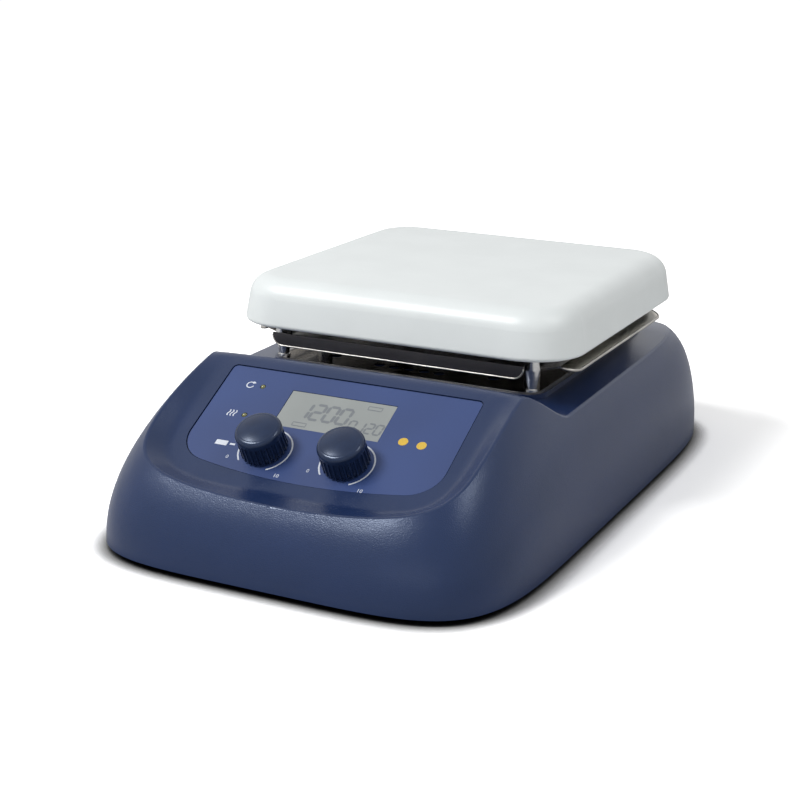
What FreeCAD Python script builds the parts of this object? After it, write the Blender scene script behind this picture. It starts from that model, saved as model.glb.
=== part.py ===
import FreeCAD, Part
import os
from math import sin, cos, atan, degrees, radians, pi, sqrt, exp, log

# Hotplate magnetic stirrer. Millimetres, +X right seen from the front, +Y to the back, +Z up.
# The origin is on the floor, under the middle of the object.

V = FreeCAD.Vector

# Housing
foot_height = 3.0
body_width = 218.0
body_length = 360.0
wall = 3.0
roof = 4.5                  # upright thickness of the roof, deck included
shoulder_height = 65.8      # height at which the three leans are taken
side_lean = 14.5
front_lean = 40.3
rear_lean = 25.9
crease_radius = 1.6

# Deck, crest and shoulder
deck_slope = 0.55
panel_top_y = -88.3
panel_top_z = 76.4
dish_margin = 6.0           # level floor round the overlay before the deck rises
crest_start = -85.0
crest_run = 36.0
crest_rise = 15.9
shoulder_base = 65.8
shoulder_crown = 2.0
shoulder_rise = 0.011       # the shoulder climbs a little towards the back
rear_round_run = 65.0       # the shoulder turns down over this length at the back

# Panel overlay
panel_half_width = 67.3
panel_side = 46.0
panel_length = 68.0
panel_corner = 15.0
overlay_thickness = 1.2
overlay_sink = 0.4          # overlay face below the deck floor
overlay_gap = 0.5
window_x = -0.6
window_s = -22.8
window_width = 56.5
window_height = 24.0
window_clearance = 0.2
glass_thickness = 3.6
knob_s = -51.0
knob_heat_x = -23.9
knob_stir_x = 19.4
lamp_x = -45.5
lamp_stir_s = -11.7
lamp_heat_s = -31.6
lamp_radius = 1.4

# Board behind the deck
board_depth = 12.0
board_sheet = 1.6
board_half_width = 60.0
board_top_s = -6.0
board_bottom_s = -66.0
board_screw_x = 54.0
board_screw_top_s = -12.0
board_screw_bottom_s = -61.0

# Knobs and their controls
knob_radius = 11.4
knob_taper = 0.2
knob_grip = 10.0
knob_brow = 1.2             # upright side of the cap
knob_edge = 2.4             # rounding above it
knob_dome = 1.2             # rise of the domed face
knob_lift = 1.0             # gap between overlay and knob
flute_count = 26
flute_radius = 0.95
shaft_radius = 3.0
running_gap = 0.04
bushing_radius = 3.8
bushing_clearance = 0.2
pot_size = 16.0
pot_height = 7.0

# Platform, shield, posts
plate_y = 38.7
platform_half_x = 76.5
platform_half_y = 81.5
platform_top = 67.8
platform_sheet = 4.0
platform_corner = 12.0
shield_inset = 2.5
shield_sheet = 0.8
vent_radius = 3.0
vent_pitch = 8.5
vent_count = 5
vent_rows_y = 68.0
vent_side_x = 45.0
vent_side_y = 63.0
post_x = 70.0
post_offset_y = 74.5
post_length = 23.4
post_radius = 4.2
post_neck_radius = 2.6
post_neck_length = 10.0
stud_radius = 2.5
stud_length = 9.0
drive_bore = 10.0           # radius of the hole for the motor shaft

# Work plate
plate_half = 94.2
plate_corner = 29.0
plate_flare = 4.2
plate_edge_radius = 12.0
plate_drop = 18.4           # skirt below the underside of the plate
plate_thickness = 6.0
plate_boss_length = 14.0
plate_boss_radius = 7.0
plate_skirt = 8.0
plate_rim_radius = 1.8
element_radius = 72.0
element_thickness = 3.0
pad_thickness = 6.0
cover_sheet = 1.0
cover_clearance = 2.0
tab_reach = 10.0
tab_width = 12.0
sensor_radius = 3.0
lead_radius = 2.0
lead_spacing = 6.0
lead_offset_y = 62.0
lead_clearance = 0.3

# Heat tray
tray_spacer_length = 8.4
tray_sheet = 1.0
tray_half_y = 86.0
tray_front_half = 70.0
tray_floor_half_x = 70.0
tray_wall = 5.5
tray_ridge_x = 12.6         # sideways run from the floor up to the ridge of the wing
tray_ridge_z = 3.6
tray_brim_x = 7.9           # run from the ridge down to the wing's edge
tray_brim_z = 2.1
tray_side_half = 69.6
tray_wing_corner = 9.0
tray_corner = 6.0
spacer_radius = 4.0
spacer_x = 60.0
spacer_offset_y = 48.0

# Drive
bracket_drop = 5.8          # bosses between roof and bracket
bracket_sheet = 2.0
bracket_half = 40.0
bracket_screw = 32.0
motor_radius = 28.0
motor_length = 40.0
motor_wall = 2.0
stator_radius = 17.0
rotor_gap = 0.6
core_length = 24.0
stator_length = 28.0
motor_shaft_radius = 3.0
bearing_radius = 8.0
bearing_width = 4.0
magnet_gap = 2.5            # magnet bar above the tray
bar_length = 96.0
bar_width = 22.0
bar_thickness = 4.0
magnet_radius = 10.0
magnet_height = 6.0
magnet_x = 34.0
hub_radius = 7.0
hub_lift = 3.0

# Base
base_sheet = 2.5
base_recess = 0.5           # base plate above the rim of the housing
base_clearance = 0.4
base_boss_radius = 4.5
base_boss_x = 76.0
base_boss_inset = 52.0      # from either end of the body
foot_radius = 10.0
foot_x = 84.0
foot_front_inset = 84.0
foot_rear_inset = 80.0
foot_peg = 2.5
slot_width = 3.0
slot_length = 36.0
slot_pitch = 9.0
slot_count = 10

# Power board
standoff_height = 8.0
power_half_x = 66.0
power_rear_inset = 24.0     # board's rear edge from the back of the body
power_length = 72.0
power_sheet = 1.6
standoff_radius = 3.0
standoff_inset = 6.0

# Rear panel and what it carries
rear_face_inset = 15.0      # rear face sunk in from the back of the body
rear_half_x = 70.0
rear_bottom = 12.0
rear_top = 50.0
rear_land_x = 8.0
rear_land_z = 4.0
rear_frame = 3.0
rear_sheet = 1.5
rear_gap = 0.3
rear_z = 31.0
inlet_x = -46.0
inlet_flange_x = 16.0
inlet_flange_z = 12.0
inlet_flange = 2.0
inlet_half_x = 13.7
inlet_half_z = 9.7
inlet_wall = 1.5
inlet_depth = 21.5
inlet_back = 6.0
pin_reach = 12.0
pin_width = 2.0
pin_height = 4.0
pin_spacing = 7.0
rocker_x = -18.0
switch_half_x = 6.6
switch_half_z = 9.8
switch_wall = 1.2
switch_flange = 1.5
switch_rim = 1.0
switch_depth = 13.5
rocker_side_gap = 0.3
rocker_rest = 8.0           # degrees of tilt in the off position
rocker_pin_radius = 1.2
fuse_x = 2.0
fuse_radius = 6.0
data_x = 28.0
probe_x = 53.0
probe_radius = 6.5

# Socket for a support rod
rod_x = -60.0
rod_inset = 37.0            # rod axis from the back of the body
rod_thread_radius = 5.0
rod_insert_radius = 7.5
rod_flange_radius = 9.5
rod_flange = 1.5
rod_depth = 18.0
rod_seat = 63.4

# Screws
small_screw = 1.5           # shank radius
small_head = 3.0
small_head_height = 1.6
head_clearance = 0.4
base_screw = 2.0
base_head = 4.0

# Places that follow from the sizes above
panel_tilt = degrees(atan(deck_slope))
body_rear_y = body_length / 2
rear_round_start = body_rear_y - rear_round_run
base_boss_y = body_rear_y - base_boss_inset
foot_front_y = foot_front_inset - body_rear_y
foot_rear_y = body_rear_y - foot_rear_inset
power_rear_y = body_rear_y - power_rear_inset
power_front_y = power_rear_y - power_length
rear_face_y = body_rear_y - rear_face_inset
rod_y = body_rear_y - rod_inset
shield_top = platform_top + shield_sheet
plate_seat = shield_top + post_length
plate_under = plate_seat + plate_boss_length
plate_top = plate_under + plate_thickness
skirt_bottom = plate_under - plate_drop
tray_bottom = shield_top + tray_spacer_length
tray_top = tray_bottom + tray_sheet
roof_under = platform_top - platform_sheet
bracket_top = roof_under - bracket_drop
motor_top = bracket_top - bracket_sheet
motor_bottom = motor_top - motor_length
bar_bottom = tray_top + magnet_gap
base_bottom = foot_height + base_recess
base_top = base_bottom + base_sheet
power_bottom = base_top + standoff_height
power_top = power_bottom + power_sheet
overlay_top = -overlay_sink
overlay_bottom = overlay_top - overlay_thickness
rear_out = rear_face_y + rear_sheet
element_bottom = plate_under - element_thickness
pad_bottom = element_bottom - pad_thickness
cover_bottom = pad_bottom - cover_sheet
cover_radius = element_radius + cover_clearance


def box(x0, x1, y0, y1, z0, z1):
    return Part.makeBox(x1 - x0, y1 - y0, z1 - z0, V(x0, y0, z0))


def rod(radius, x, y, z0, z1):
    return Part.makeCylinder(radius, z1 - z0, V(x, y, z0))


def rod_y_axis(radius, x, z, y0, y1):
    return Part.makeCylinder(radius, y1 - y0, V(x, y0, z), V(0, 1, 0))


def join(shapes):
    """Fuse touching shapes into one solid."""
    shape = shapes[0]
    if len(shapes) > 1:
        shape = shape.multiFuse(shapes[1:])
    return shape.removeSplitter()


def four(x, dy, y=plate_y):
    """Four places, mirrored left and right and to both sides of a centre line."""
    return [(sx * x, y + sy * dy) for sx in (-1, 1) for sy in (-1, 1)]


def rounded_outline(half_x, half_y, radius, x, y, z):
    """Closed outline of a rectangle with round corners, lying flat."""
    sheet = Part.makePlane(2 * half_x, 2 * half_y, V(x - half_x, y - half_y, z))
    corners = [v for v in sheet.OuterWire.OrderedVertexes]
    path = []
    places = [c.Point for c in corners]
    n = len(places)
    for i in range(n):
        before = places[i - 1] - places[i]
        after = places[(i + 1) % n] - places[i]
        before.normalize()
        after.normalize()
        start = places[i] + before * radius
        end = places[i] + after * radius
        middle = places[i] + (before + after) * (radius * (1 - sqrt(0.5)))
        path.append((start, middle, end))
    edges = []
    for i in range(n):
        start, middle, end = path[i]
        edges.append(Part.Arc(start, middle, end).toShape())
        edges.append(Part.LineSegment(end, path[(i + 1) % n][0]).toShape())
    return Part.Wire(edges)


def rounded_block(half_x, half_y, radius, x, y, z0, z1):
    face = Part.Face(rounded_outline(half_x, half_y, radius, x, y, z0))
    return face.extrude(V(0, 0, z1 - z0))


def screw(x, y, seat, length, shank, head, height, up=1):
    """Pan screw whose head lies below the seat, its shank pointing up, or the reverse."""
    if up > 0:
        return join([rod(head, x, y, seat - height, seat), rod(shank, x, y, seat, seat + length)])
    return join([rod(head, x, y, seat, seat + height), rod(shank, x, y, seat - length, seat)])


def on_deck(shape):
    """Move a shape drawn flat at the overlay's top edge into the plane of the deck."""
    turn = FreeCAD.Rotation(V(1, 0, 0), panel_tilt)
    place = FreeCAD.Placement(V(0, panel_top_y, panel_top_z), turn)
    moved = shape.copy()
    moved.Placement = place.multiply(shape.Placement)
    return moved


# Housing surface

def outline_radius(angle, half_x, half_y, power_x, power_y):
    """Distance from the centre to |x/a|^p + |y/b|^q = 1 in one direction."""
    c = abs(cos(angle)) / half_x
    s = abs(sin(angle)) / half_y
    near, far = 0.0, half_x + half_y
    for _ in range(44):
        middle = (near + far) / 2
        if (c * middle) ** power_x + (s * middle) ** power_y < 1:
            near = middle
        else:
            far = middle
    return near


def wall_point(angle, z, inset):
    """Point on the side wall: bowed front, round corners, walls that lean in as they rise."""
    t = max(z - foot_height, 0.0) / (shoulder_height - foot_height)
    half_x = body_width / 2 - side_lean * t ** 1.92 - inset
    if sin(angle) < 0:
        half_y = body_length / 2 - front_lean * t ** 2.26 - inset
        powers = (4.84 + 2.11 * t, 7.0 - 2.64 * t)
    else:
        half_y = body_length / 2 - rear_lean * t ** 5.47 - inset
        powers = (6.1 - 0.76 * t, 5.56 + 1.16 * t)
    r = outline_radius(angle, half_x, half_y, powers[0], powers[1])
    return V(r * cos(angle), r * sin(angle), z)


def half_ring(z, inset, steps):
    """Right half of the wall at one height, from the back to the front."""
    points = [wall_point(pi / 2 - pi * i / steps, z, inset) for i in range(steps + 1)]
    points[0].x = 0.0
    points[-1].x = 0.0
    return points


def smooth(t):
    t = min(max(t, 0.0), 1.0)
    return t * t * (3 - 2 * t)


def top_height(x, y):
    """Height of the top: sloped deck with a dished edge, crest, shoulder, round back."""
    side = abs(x)
    plane = panel_top_z + deck_slope * (y - panel_top_y)
    floor_x = panel_half_width + dish_margin
    cos_tilt = 1 / sqrt(1 + deck_slope ** 2)
    dish_start = panel_top_y - 12.0
    floor_y = panel_length * cos_tilt + dish_margin - 12.0
    reach = (side / floor_x) ** 5 + (max(dish_start - y, 0.0) / floor_y) ** 5
    out = reach ** 0.2 - 1
    blend = 0.06
    if out <= 0:
        rise = 0.0
    elif out < blend:
        rise = out * out / (2 * blend)
    else:
        rise = out - blend / 2
    fade_start = panel_top_y - 46.0
    fade = 1 - min(max((y - fade_start) / 54.0, 0.0), 1.0) ** 1.6
    deck = plane + rise * fade * (29 + 35 * (side / 84.0) ** 2)
    shoulder = shoulder_base - shoulder_crown * (side / 95.0) ** 4 + shoulder_rise * (y + 40)
    shoulder -= 0.0028 * max(y - rear_round_start, 0.0) ** 2
    crest = shoulder + crest_rise * (1 - smooth((y - crest_start) / crest_run))
    soft = 1.2
    low = min(deck, crest)
    return low - soft * log(exp((low - deck) / soft) + exp((low - crest) / soft))


def surface(grid):
    patch = Part.BSplineSurface()
    patch.interpolate(grid)
    return patch.toShape()


def side_solid(inset, low, high, levels, steps):
    """Closed solid inside the side walls, from one height to another."""
    heights = [low + (high - low) * i / levels for i in range(levels + 1)]
    right = surface([half_ring(z, inset, steps) for z in heights])
    left = right.mirror(V(0, 0, 0), V(1, 0, 0))
    caps = []
    for z in (low, high):
        rim = []
        for face in (right, left):
            for edge in face.Edges:
                box_z = edge.BoundBox
                if abs(box_z.ZMin - z) < 0.01 and abs(box_z.ZMax - z) < 0.01:
                    rim.append(edge)
        caps.append(Part.Face(Part.Wire(rim)))
    shell = Part.makeShell([right, left] + caps)
    shell.sewShape()
    solid = Part.Solid(shell)
    if solid.Volume < 0:
        solid.reverse()
    return solid


def under_top(drop, pitch):
    """Everything below the top surface, lowered by a drop."""
    half_x = body_width / 2 + 4
    half_y = body_length / 2 + 4
    nx = 2 * int(half_x / pitch)
    ny = 2 * int(half_y / pitch)
    grid = []
    for j in range(ny + 1):
        y = -half_y + 2 * half_y * j / ny
        row = []
        for i in range(nx + 1):
            x = -half_x + 2 * half_x * i / nx
            row.append(V(x, y, top_height(x, y) - drop))
        grid.append(row)
    return surface(grid).extrude(V(0, 0, -2 * shoulder_height))


def body_outside():
    """Housing as if it were solid, with the crease round its top softened."""
    high = shoulder_base + crest_rise + 4
    solid = side_solid(0, foot_height, high, 14, 72).common(under_top(0, 3.6)).Solids[0]
    edges = []
    for edge in solid.Edges:
        owners = [f for f in solid.Faces if any(e.isSame(edge) for e in f.Edges)]
        tops = [f for f in owners if f.BoundBox.XLength > 0.9 * body_width * 0.85]
        if len(owners) == 2 and len(tops) == 1 and edge.BoundBox.ZMin > foot_height + 5:
            edges.append(edge)
    return solid.makeFillet(crease_radius, edges)


def body_inside():
    """Hollow of the housing, down to the rim."""
    high = shoulder_base + crest_rise + 4
    return side_solid(wall, foot_height, high, 10, 40).common(under_top(roof, 6.0))


def take_out_hollow(outside, hollow):
    """Empty a body through its floor: its skin, the hollow's skin, and the rim between them."""
    def on_floor(face):
        return face.BoundBox.ZMax < foot_height + 0.01

    floor = [f for f in outside.Faces if on_floor(f)][0]
    mouth = [f for f in hollow.Faces if on_floor(f)][0]
    skin = [f for f in outside.Faces if not on_floor(f)] + floor.cut(mouth).Faces
    shell = Part.makeShell(skin + [f for f in hollow.Faces if not on_floor(f)])
    shell.sewShape()
    solid = Part.Solid(shell)
    solid.fix(0.001, 0.001, 0.01)
    if solid.Volume < 0:
        solid.reverse()
    return solid


def panel_outline(grow):
    """Outline of the overlay in its own plane, grown by a gap."""
    w = panel_half_width
    c = panel_corner
    low = panel_length
    shoulder = 0.93 * low
    top = 2.5
    d = sqrt(0.5)
    edges = [
        Part.LineSegment(V(-w + top, 0, 0), V(w - top, 0, 0)),
        Part.Arc(V(w - top, 0, 0), V(w - top * (1 - d), -top * (1 - d), 0), V(w, -top, 0)),
        Part.LineSegment(V(w, -top, 0), V(w, -panel_side, 0)),
        Part.Arc(V(w, -panel_side, 0), V(w - c * (1 - d) * 1.05, -shoulder + c * 0.36, 0),
                 V(w - c, -shoulder, 0)),
        Part.Arc(V(w - c, -shoulder, 0), V(0, -low, 0), V(-w + c, -shoulder, 0)),
        Part.Arc(V(-w + c, -shoulder, 0), V(-w + c * (1 - d) * 1.05, -shoulder + c * 0.36, 0),
                 V(-w, -panel_side, 0)),
        Part.LineSegment(V(-w, -panel_side, 0), V(-w, -top, 0)),
        Part.Arc(V(-w, -top, 0), V(-w + top * (1 - d), -top * (1 - d), 0), V(-w + top, 0, 0)),
    ]
    wire = Part.Wire([e.toShape() for e in edges])
    if grow > 0:
        wire = wire.makeOffset2D(grow)
    return wire


def panel_prism(grow, low, high):
    face = Part.Face(panel_outline(grow))
    face.translate(V(0, 0, low))
    return face.extrude(V(0, 0, high - low))


def window_block(grow, low, high):
    x = window_width / 2 + grow
    s = window_height / 2 + grow
    return box(window_x - x, window_x + x, window_s - s, window_s + s, low, high)


def knob_places():
    return {"heat": knob_heat_x, "stir": knob_stir_x}


def lamp_places():
    return [(lamp_x, lamp_stir_s), (lamp_x, lamp_heat_s)]


def board_screw_places():
    return [(sx * board_screw_x, s) for sx in (-1, 1)
            for s in (board_screw_top_s, board_screw_bottom_s)]


def base_screw_places():
    return [(sx * base_boss_x, y) for sx in (-1, 1) for y in (-base_boss_y, base_boss_y)]


def vent_places():
    """Rows of round vents near the front and back edges of the platform."""
    places = four(vent_side_x, vent_side_y)
    for side in (-1, 1):
        for i in range(vent_count):
            x = (i - (vent_count - 1) / 2) * vent_pitch
            places.append((x, plate_y + side * vent_rows_y))
    return places


def lead_places():
    return [(-lead_spacing, plate_y + lead_offset_y), (lead_spacing, plate_y + lead_offset_y)]


def rear_block(margin_x, margin_z, y0, y1):
    return box(-rear_half_x - margin_x, rear_half_x + margin_x, y0, y1,
               rear_bottom - margin_z, rear_top + margin_z)


def upper_housing():
    """Painted shell with deck, platform, rear pocket and the bosses inside it."""
    outside = body_outside()
    platform = rounded_block(platform_half_x, platform_half_y, platform_corner,
                             0, plate_y, roof_under, platform_top)
    room = rounded_block(platform_half_x - wall, platform_half_y - wall, platform_corner - wall,
                         0, plate_y, shoulder_height / 2, roof_under)
    solid = [rod(base_boss_radius, x, y, base_top, 2 * roof_under) for x, y in base_screw_places()]
    solid.append(rod(rod_flange_radius + 2, rod_x, rod_y, rod_seat - rod_depth - 2, 2 * rod_seat))
    solid.append(rear_block(rear_frame, rear_frame, rear_face_y - 2 * rear_frame, body_length))
    for x, y in four(bracket_screw, bracket_screw):
        solid.append(rod(base_boss_radius, x, y, bracket_top, 2 * roof_under))
    for x, s in board_screw_places():
        solid.append(on_deck(rod(small_head + 0.5, x, s, -board_depth, 2 * roof)))
    hollow = body_inside().fuse(room).cut(solid)
    shell = take_out_hollow(outside.fuse(platform), hollow)

    cuts = [on_deck(panel_prism(overlay_gap, overlay_bottom, 12.0))]
    cuts.append(on_deck(window_block(0.5, -2 * roof, 0)))
    for x in knob_places().values():
        cuts.append(on_deck(rod(bushing_radius + bushing_clearance, x, knob_s, -2 * roof, 0)))
    for x, s in lamp_places():
        cuts.append(on_deck(rod(lamp_radius + 0.2, x, s, -2 * roof, 0)))
    for x, s in board_screw_places():
        cuts.append(on_deck(rod(small_screw, x, s, -board_depth - 1, -board_depth + 8)))
    for x, y in base_screw_places():
        cuts.append(rod(base_screw, x, y, base_top - 1, base_top + 14))
    for x, y in four(bracket_screw, bracket_screw):
        cuts.append(rod(small_screw, x, y, bracket_top - 1, bracket_top + 8))
    for x, y in four(post_x, post_offset_y) + four(spacer_x, spacer_offset_y):
        cuts.append(rod(small_screw, x, y, roof_under - 1, platform_top + 1))
    for x, y in four(post_x, post_offset_y):
        cuts.append(rod(small_head + head_clearance, x, y, roof_under - 2 * small_head_height,
                        roof_under))
    for x, y in vent_places():
        cuts.append(rod(vent_radius, x, y, roof_under - 1, platform_top + 1))
    for x, y in lead_places():
        cuts.append(rod(lead_radius + lead_clearance, x, y, roof_under - 1, platform_top + 1))
    cuts.append(rod(drive_bore, 0, plate_y, roof_under - 1, platform_top + 1))
    cuts.append(rear_block(0, 0, rear_face_y, body_length))
    cuts.append(rear_block(-rear_land_x, -rear_land_z, rear_face_y - 4 * rear_frame, body_length))
    for x, z in rear_screw_places():
        cuts.append(rod_y_axis(small_screw, x, z, rear_face_y - 5, rear_face_y + 1))
    cuts.append(rod(rod_insert_radius, rod_x, rod_y, rod_seat - rod_depth, 2 * rod_seat))
    cuts.append(rod(rod_flange_radius + 0.2, rod_x, rod_y, rod_seat, 2 * rod_seat))
    return shell.cut(cuts)


# Panel, board, lamps and knobs

def panel_overlay():
    sheet = panel_prism(0, overlay_bottom, overlay_top)
    cuts = [window_block(0, -2 * roof, roof)]
    for x in knob_places().values():
        cuts.append(rod(bushing_radius + bushing_clearance, x, knob_s, -2 * roof, roof))
    for x, s in lamp_places():
        cuts.append(rod(lamp_radius + 0.1, x, s, -2 * roof, roof))
    return on_deck(sheet.cut(cuts))


def display_bottom():
    return overlay_top - window_clearance - glass_thickness


def display_glass():
    return on_deck(window_block(-window_clearance, display_bottom(), overlay_top - window_clearance))


def display_frame():
    """Open tray behind the glass, with a ledge that the glass rests on."""
    block = window_block(2.0, -board_depth, display_bottom())
    room = window_block(-2.0, -board_depth + 1.5, display_bottom())
    return on_deck(block.cut(room))


def control_board():
    sheet = box(-board_half_width, board_half_width, board_bottom_s, board_top_s,
                -board_depth - board_sheet, -board_depth)
    holes = [rod(small_screw, x, s, -board_depth - 2 * board_sheet, 0)
             for x, s in board_screw_places()]
    return on_deck(sheet.cut(holes))


def board_screws():
    seat = -board_depth - board_sheet
    shapes = [screw(x, s, seat, board_sheet + 7, small_screw, small_head, small_head_height)
              for x, s in board_screw_places()]
    return [on_deck(shape) for shape in shapes]


def pot_bore(x):
    return rod(shaft_radius + running_gap, x, knob_s, -board_depth + 2, 2 * roof)


def knob_base():
    return overlay_top + knob_lift


def control_body(x):
    """Turning control on the board, with a bushing that leads its shaft through the deck."""
    half = pot_size / 2
    body = box(x - half, x + half, knob_s - half, knob_s + half,
               -board_depth, -board_depth + pot_height)
    bushing = rod(bushing_radius, x, knob_s, -board_depth + pot_height, knob_base() - 0.4)
    return on_deck(join([body, bushing]).cut(pot_bore(x)))


def control_shaft(x):
    return on_deck(rod(shaft_radius, x, knob_s, -board_depth + 2.2, knob_base() + knob_grip + 1))


def knob(x):
    """Tapered grip with flutes round it and a smooth domed cap."""
    top_radius = knob_radius - knob_taper
    grip = Part.makeCone(knob_radius, top_radius, knob_grip)
    flutes = []
    for i in range(flute_count):
        angle = 2 * pi * i / flute_count
        foot = V(knob_radius * cos(angle), knob_radius * sin(angle), -1)
        lean = V(-knob_taper * cos(angle), -knob_taper * sin(angle), knob_grip)
        flutes.append(Part.makeCylinder(flute_radius, knob_grip + 0.6, foot, lean))
    grip = grip.cut(flutes)
    r = top_radius + 0.1
    z = knob_grip
    brow = z + knob_brow
    shoulder = brow + knob_edge
    crown = shoulder + knob_dome
    edge = r - knob_edge
    bevel = knob_edge * sqrt(0.5)
    dome = (edge ** 2 + knob_dome ** 2) / (2 * knob_dome)
    halfway = crown - dome + sqrt(dome ** 2 - edge ** 2 / 4)
    profile = [
        Part.LineSegment(V(0, 0, z), V(r, 0, z)),
        Part.LineSegment(V(r, 0, z), V(r, 0, brow)),
        Part.Arc(V(r, 0, brow), V(edge + bevel, 0, brow + bevel), V(edge, 0, shoulder)),
        Part.Arc(V(edge, 0, shoulder), V(edge / 2, 0, halfway), V(0, 0, crown)),
        Part.LineSegment(V(0, 0, crown), V(0, 0, z)),
    ]
    face = Part.Face(Part.Wire([e.toShape() for e in profile]))
    cap = face.revolve(V(0, 0, 0), V(0, 0, 1), 360)
    bore = rod(shaft_radius, 0, 0, -1, knob_grip + 1)
    shape = grip.fuse(cap).cut(bore)
    shape.translate(V(x, knob_s, knob_base()))
    return on_deck(shape)


def panel_lamps():
    shapes = []
    for x, s in lamp_places():
        lamp = rod(lamp_radius, x, s, -board_depth, overlay_top - lamp_radius / 2)
        dome = Part.makeSphere(lamp_radius, V(x, s, overlay_top - lamp_radius / 2))
        above = rod(2 * lamp_radius, x, s, overlay_top - lamp_radius / 2, overlay_top + 2)
        shapes.append(on_deck(lamp.fuse(dome.common(above)).removeSplitter()))
    return shapes


# Work plate and heater

def work_plate():
    """White plate with a turned-down skirt, four post bosses and pilot holes below."""
    low = rounded_outline(plate_half, plate_half, plate_corner, 0, plate_y, skirt_bottom)
    up = rounded_outline(plate_half - plate_flare, plate_half - plate_flare,
                         plate_corner - plate_flare, 0, plate_y, plate_top)
    block = Part.makeLoft([low, up], True, True)
    tops = [e for e in block.Edges if e.BoundBox.ZMin > plate_top - 0.01]
    block = block.makeFillet(plate_edge_radius, tops)
    rims = [e for e in block.Edges if e.BoundBox.ZMax < skirt_bottom + 0.01]
    block = block.makeFillet(plate_rim_radius, rims)
    inner = plate_half - plate_skirt
    room = rounded_block(inner, inner, plate_corner - plate_skirt, 0, plate_y,
                         skirt_bottom - 1, plate_under)
    shell = block.cut(room)
    bosses = [rod(plate_boss_radius, x, y, plate_seat, plate_under)
              for x, y in four(post_x, post_offset_y)]
    shell = shell.multiFuse(bosses)
    cuts = [rod(stud_radius, x, y, plate_seat - 1, plate_seat + stud_length)
            for x, y in four(post_x, post_offset_y)]
    for x, y in cover_screw_places():
        cuts.append(rod(small_screw, x, y, plate_under - 1, plate_under + plate_thickness / 2))
    return shell.cut(cuts)


def cover_screw_places():
    reach = (cover_radius + tab_reach - small_head) * sqrt(0.5)
    return four(reach, reach)


def drill(shape, places, radius, z0, z1):
    return shape.cut([rod(radius, x, y, z0, z1) for x, y in places])


def heating_element():
    disc = rod(element_radius, 0, plate_y, element_bottom, plate_under)
    return disc.cut(rod(sensor_radius, 0, plate_y, element_bottom - 1, plate_under + 1))


def insulation_pad():
    disc = rod(element_radius, 0, plate_y, pad_bottom, element_bottom)
    disc = disc.cut(rod(sensor_radius, 0, plate_y, pad_bottom - 1, element_bottom + 1))
    return drill(disc, lead_places(), lead_radius, pad_bottom - 1, element_bottom + 1)


def plate_sensor():
    return rod(sensor_radius, 0, plate_y, pad_bottom, plate_under)


def element_cover():
    """Sheet cup that presses pad and element against the plate, with four screw tabs."""
    cup = rod(cover_radius, 0, plate_y, cover_bottom, plate_under)
    room = rod(cover_radius - cover_sheet, 0, plate_y, pad_bottom, plate_under + 1)
    cup = cup.cut(room)
    tabs = []
    for turn in (45, 135, 225, 315):
        tab = box(cover_radius - cover_sheet, cover_radius + tab_reach, -tab_width / 2,
                  tab_width / 2, plate_under - cover_sheet, plate_under)
        tab.rotate(V(0, 0, 0), V(0, 0, 1), turn)
        tab.translate(V(0, plate_y, 0))
        tabs.append(tab)
    shape = cup.multiFuse(tabs)
    shape = shape.cut(rod(cover_radius - cover_sheet, 0, plate_y, pad_bottom, plate_under + 1))
    shape = drill(shape, cover_screw_places(), small_screw, plate_under - 3, plate_under + 1)
    return drill(shape, lead_places(), lead_radius + lead_clearance, cover_bottom - 1, pad_bottom + 1)


def cover_screws():
    seat = plate_under - cover_sheet
    length = cover_sheet + plate_thickness / 2
    return [screw(x, y, seat, length, small_screw, small_head, small_head_height)
            for x, y in cover_screw_places()]


def heater_leads():
    """Two sleeved leads from the element down to the terminal block."""
    return [rod(lead_radius, x, y, terminal_top(), element_bottom) for x, y in lead_places()]


def terminal_top():
    return power_top + 10


# Tray, shield and posts

def heat_tray():
    """Folded sheet pan: upright front and back, ridged wings, notched corners."""
    z, t = tray_bottom, tray_sheet
    middle = box(-tray_floor_half_x, tray_floor_half_x, plate_y - tray_side_half,
                 plate_y + tray_side_half, z, z + t)
    ends = box(-tray_front_half + tray_corner, tray_front_half - tray_corner,
               plate_y - tray_half_y, plate_y + tray_half_y, z, z + t)
    parts = [middle, ends]
    brim = tray_floor_half_x + tray_ridge_x + tray_brim_x
    outline = rounded_block(brim, tray_side_half, tray_wing_corner, 0, plate_y,
                            z - t, z + 2 * tray_ridge_z + t)
    for side in (-1, 1):
        y = plate_y + side * (tray_half_y - t / 2)
        end = box(-tray_front_half, tray_front_half, y - t / 2, y + t / 2, z, z + t + tray_wall)
        low = [e for e in end.Edges if e.BoundBox.XLength < 0.01 and e.BoundBox.ZLength < 0.01
               and e.BoundBox.ZMin < z + 0.01]
        parts.append(end.makeFillet(min(tray_corner, tray_wall), low))
        inner = tray_floor_half_x - 2 * t
        foot = tray_floor_half_x
        ridge = foot + tray_ridge_x
        high = z + tray_ridge_z
        edge = high - tray_brim_z
        run = [(inner, z), (foot, z), (ridge, high), (brim, edge), (brim, edge + t),
               (ridge, high + t), (foot, z + t), (inner, z + t), (inner, z)]
        path = [V(side * px, plate_y - tray_side_half, pz) for px, pz in run]
        wing = Part.Face(Part.makePolygon(path)).extrude(V(0, 2 * tray_side_half, 0))
        parts.append(wing.common(outline))
    shape = join(parts)
    shape = drill(shape, four(spacer_x, spacer_offset_y), small_screw, z - 1, z + 2)
    shape = drill(shape, lead_places(), lead_radius + lead_clearance, z - 1, z + 2)
    return shape.cut(rod(drive_bore, 0, plate_y, z - 1, z + 2))


def tray_spacers():
    return [rod(spacer_radius, x, y, shield_top, tray_bottom).cut(
        rod(small_screw, x, y, shield_top - 1, tray_bottom + 1))
        for x, y in four(spacer_x, spacer_offset_y)]


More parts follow.
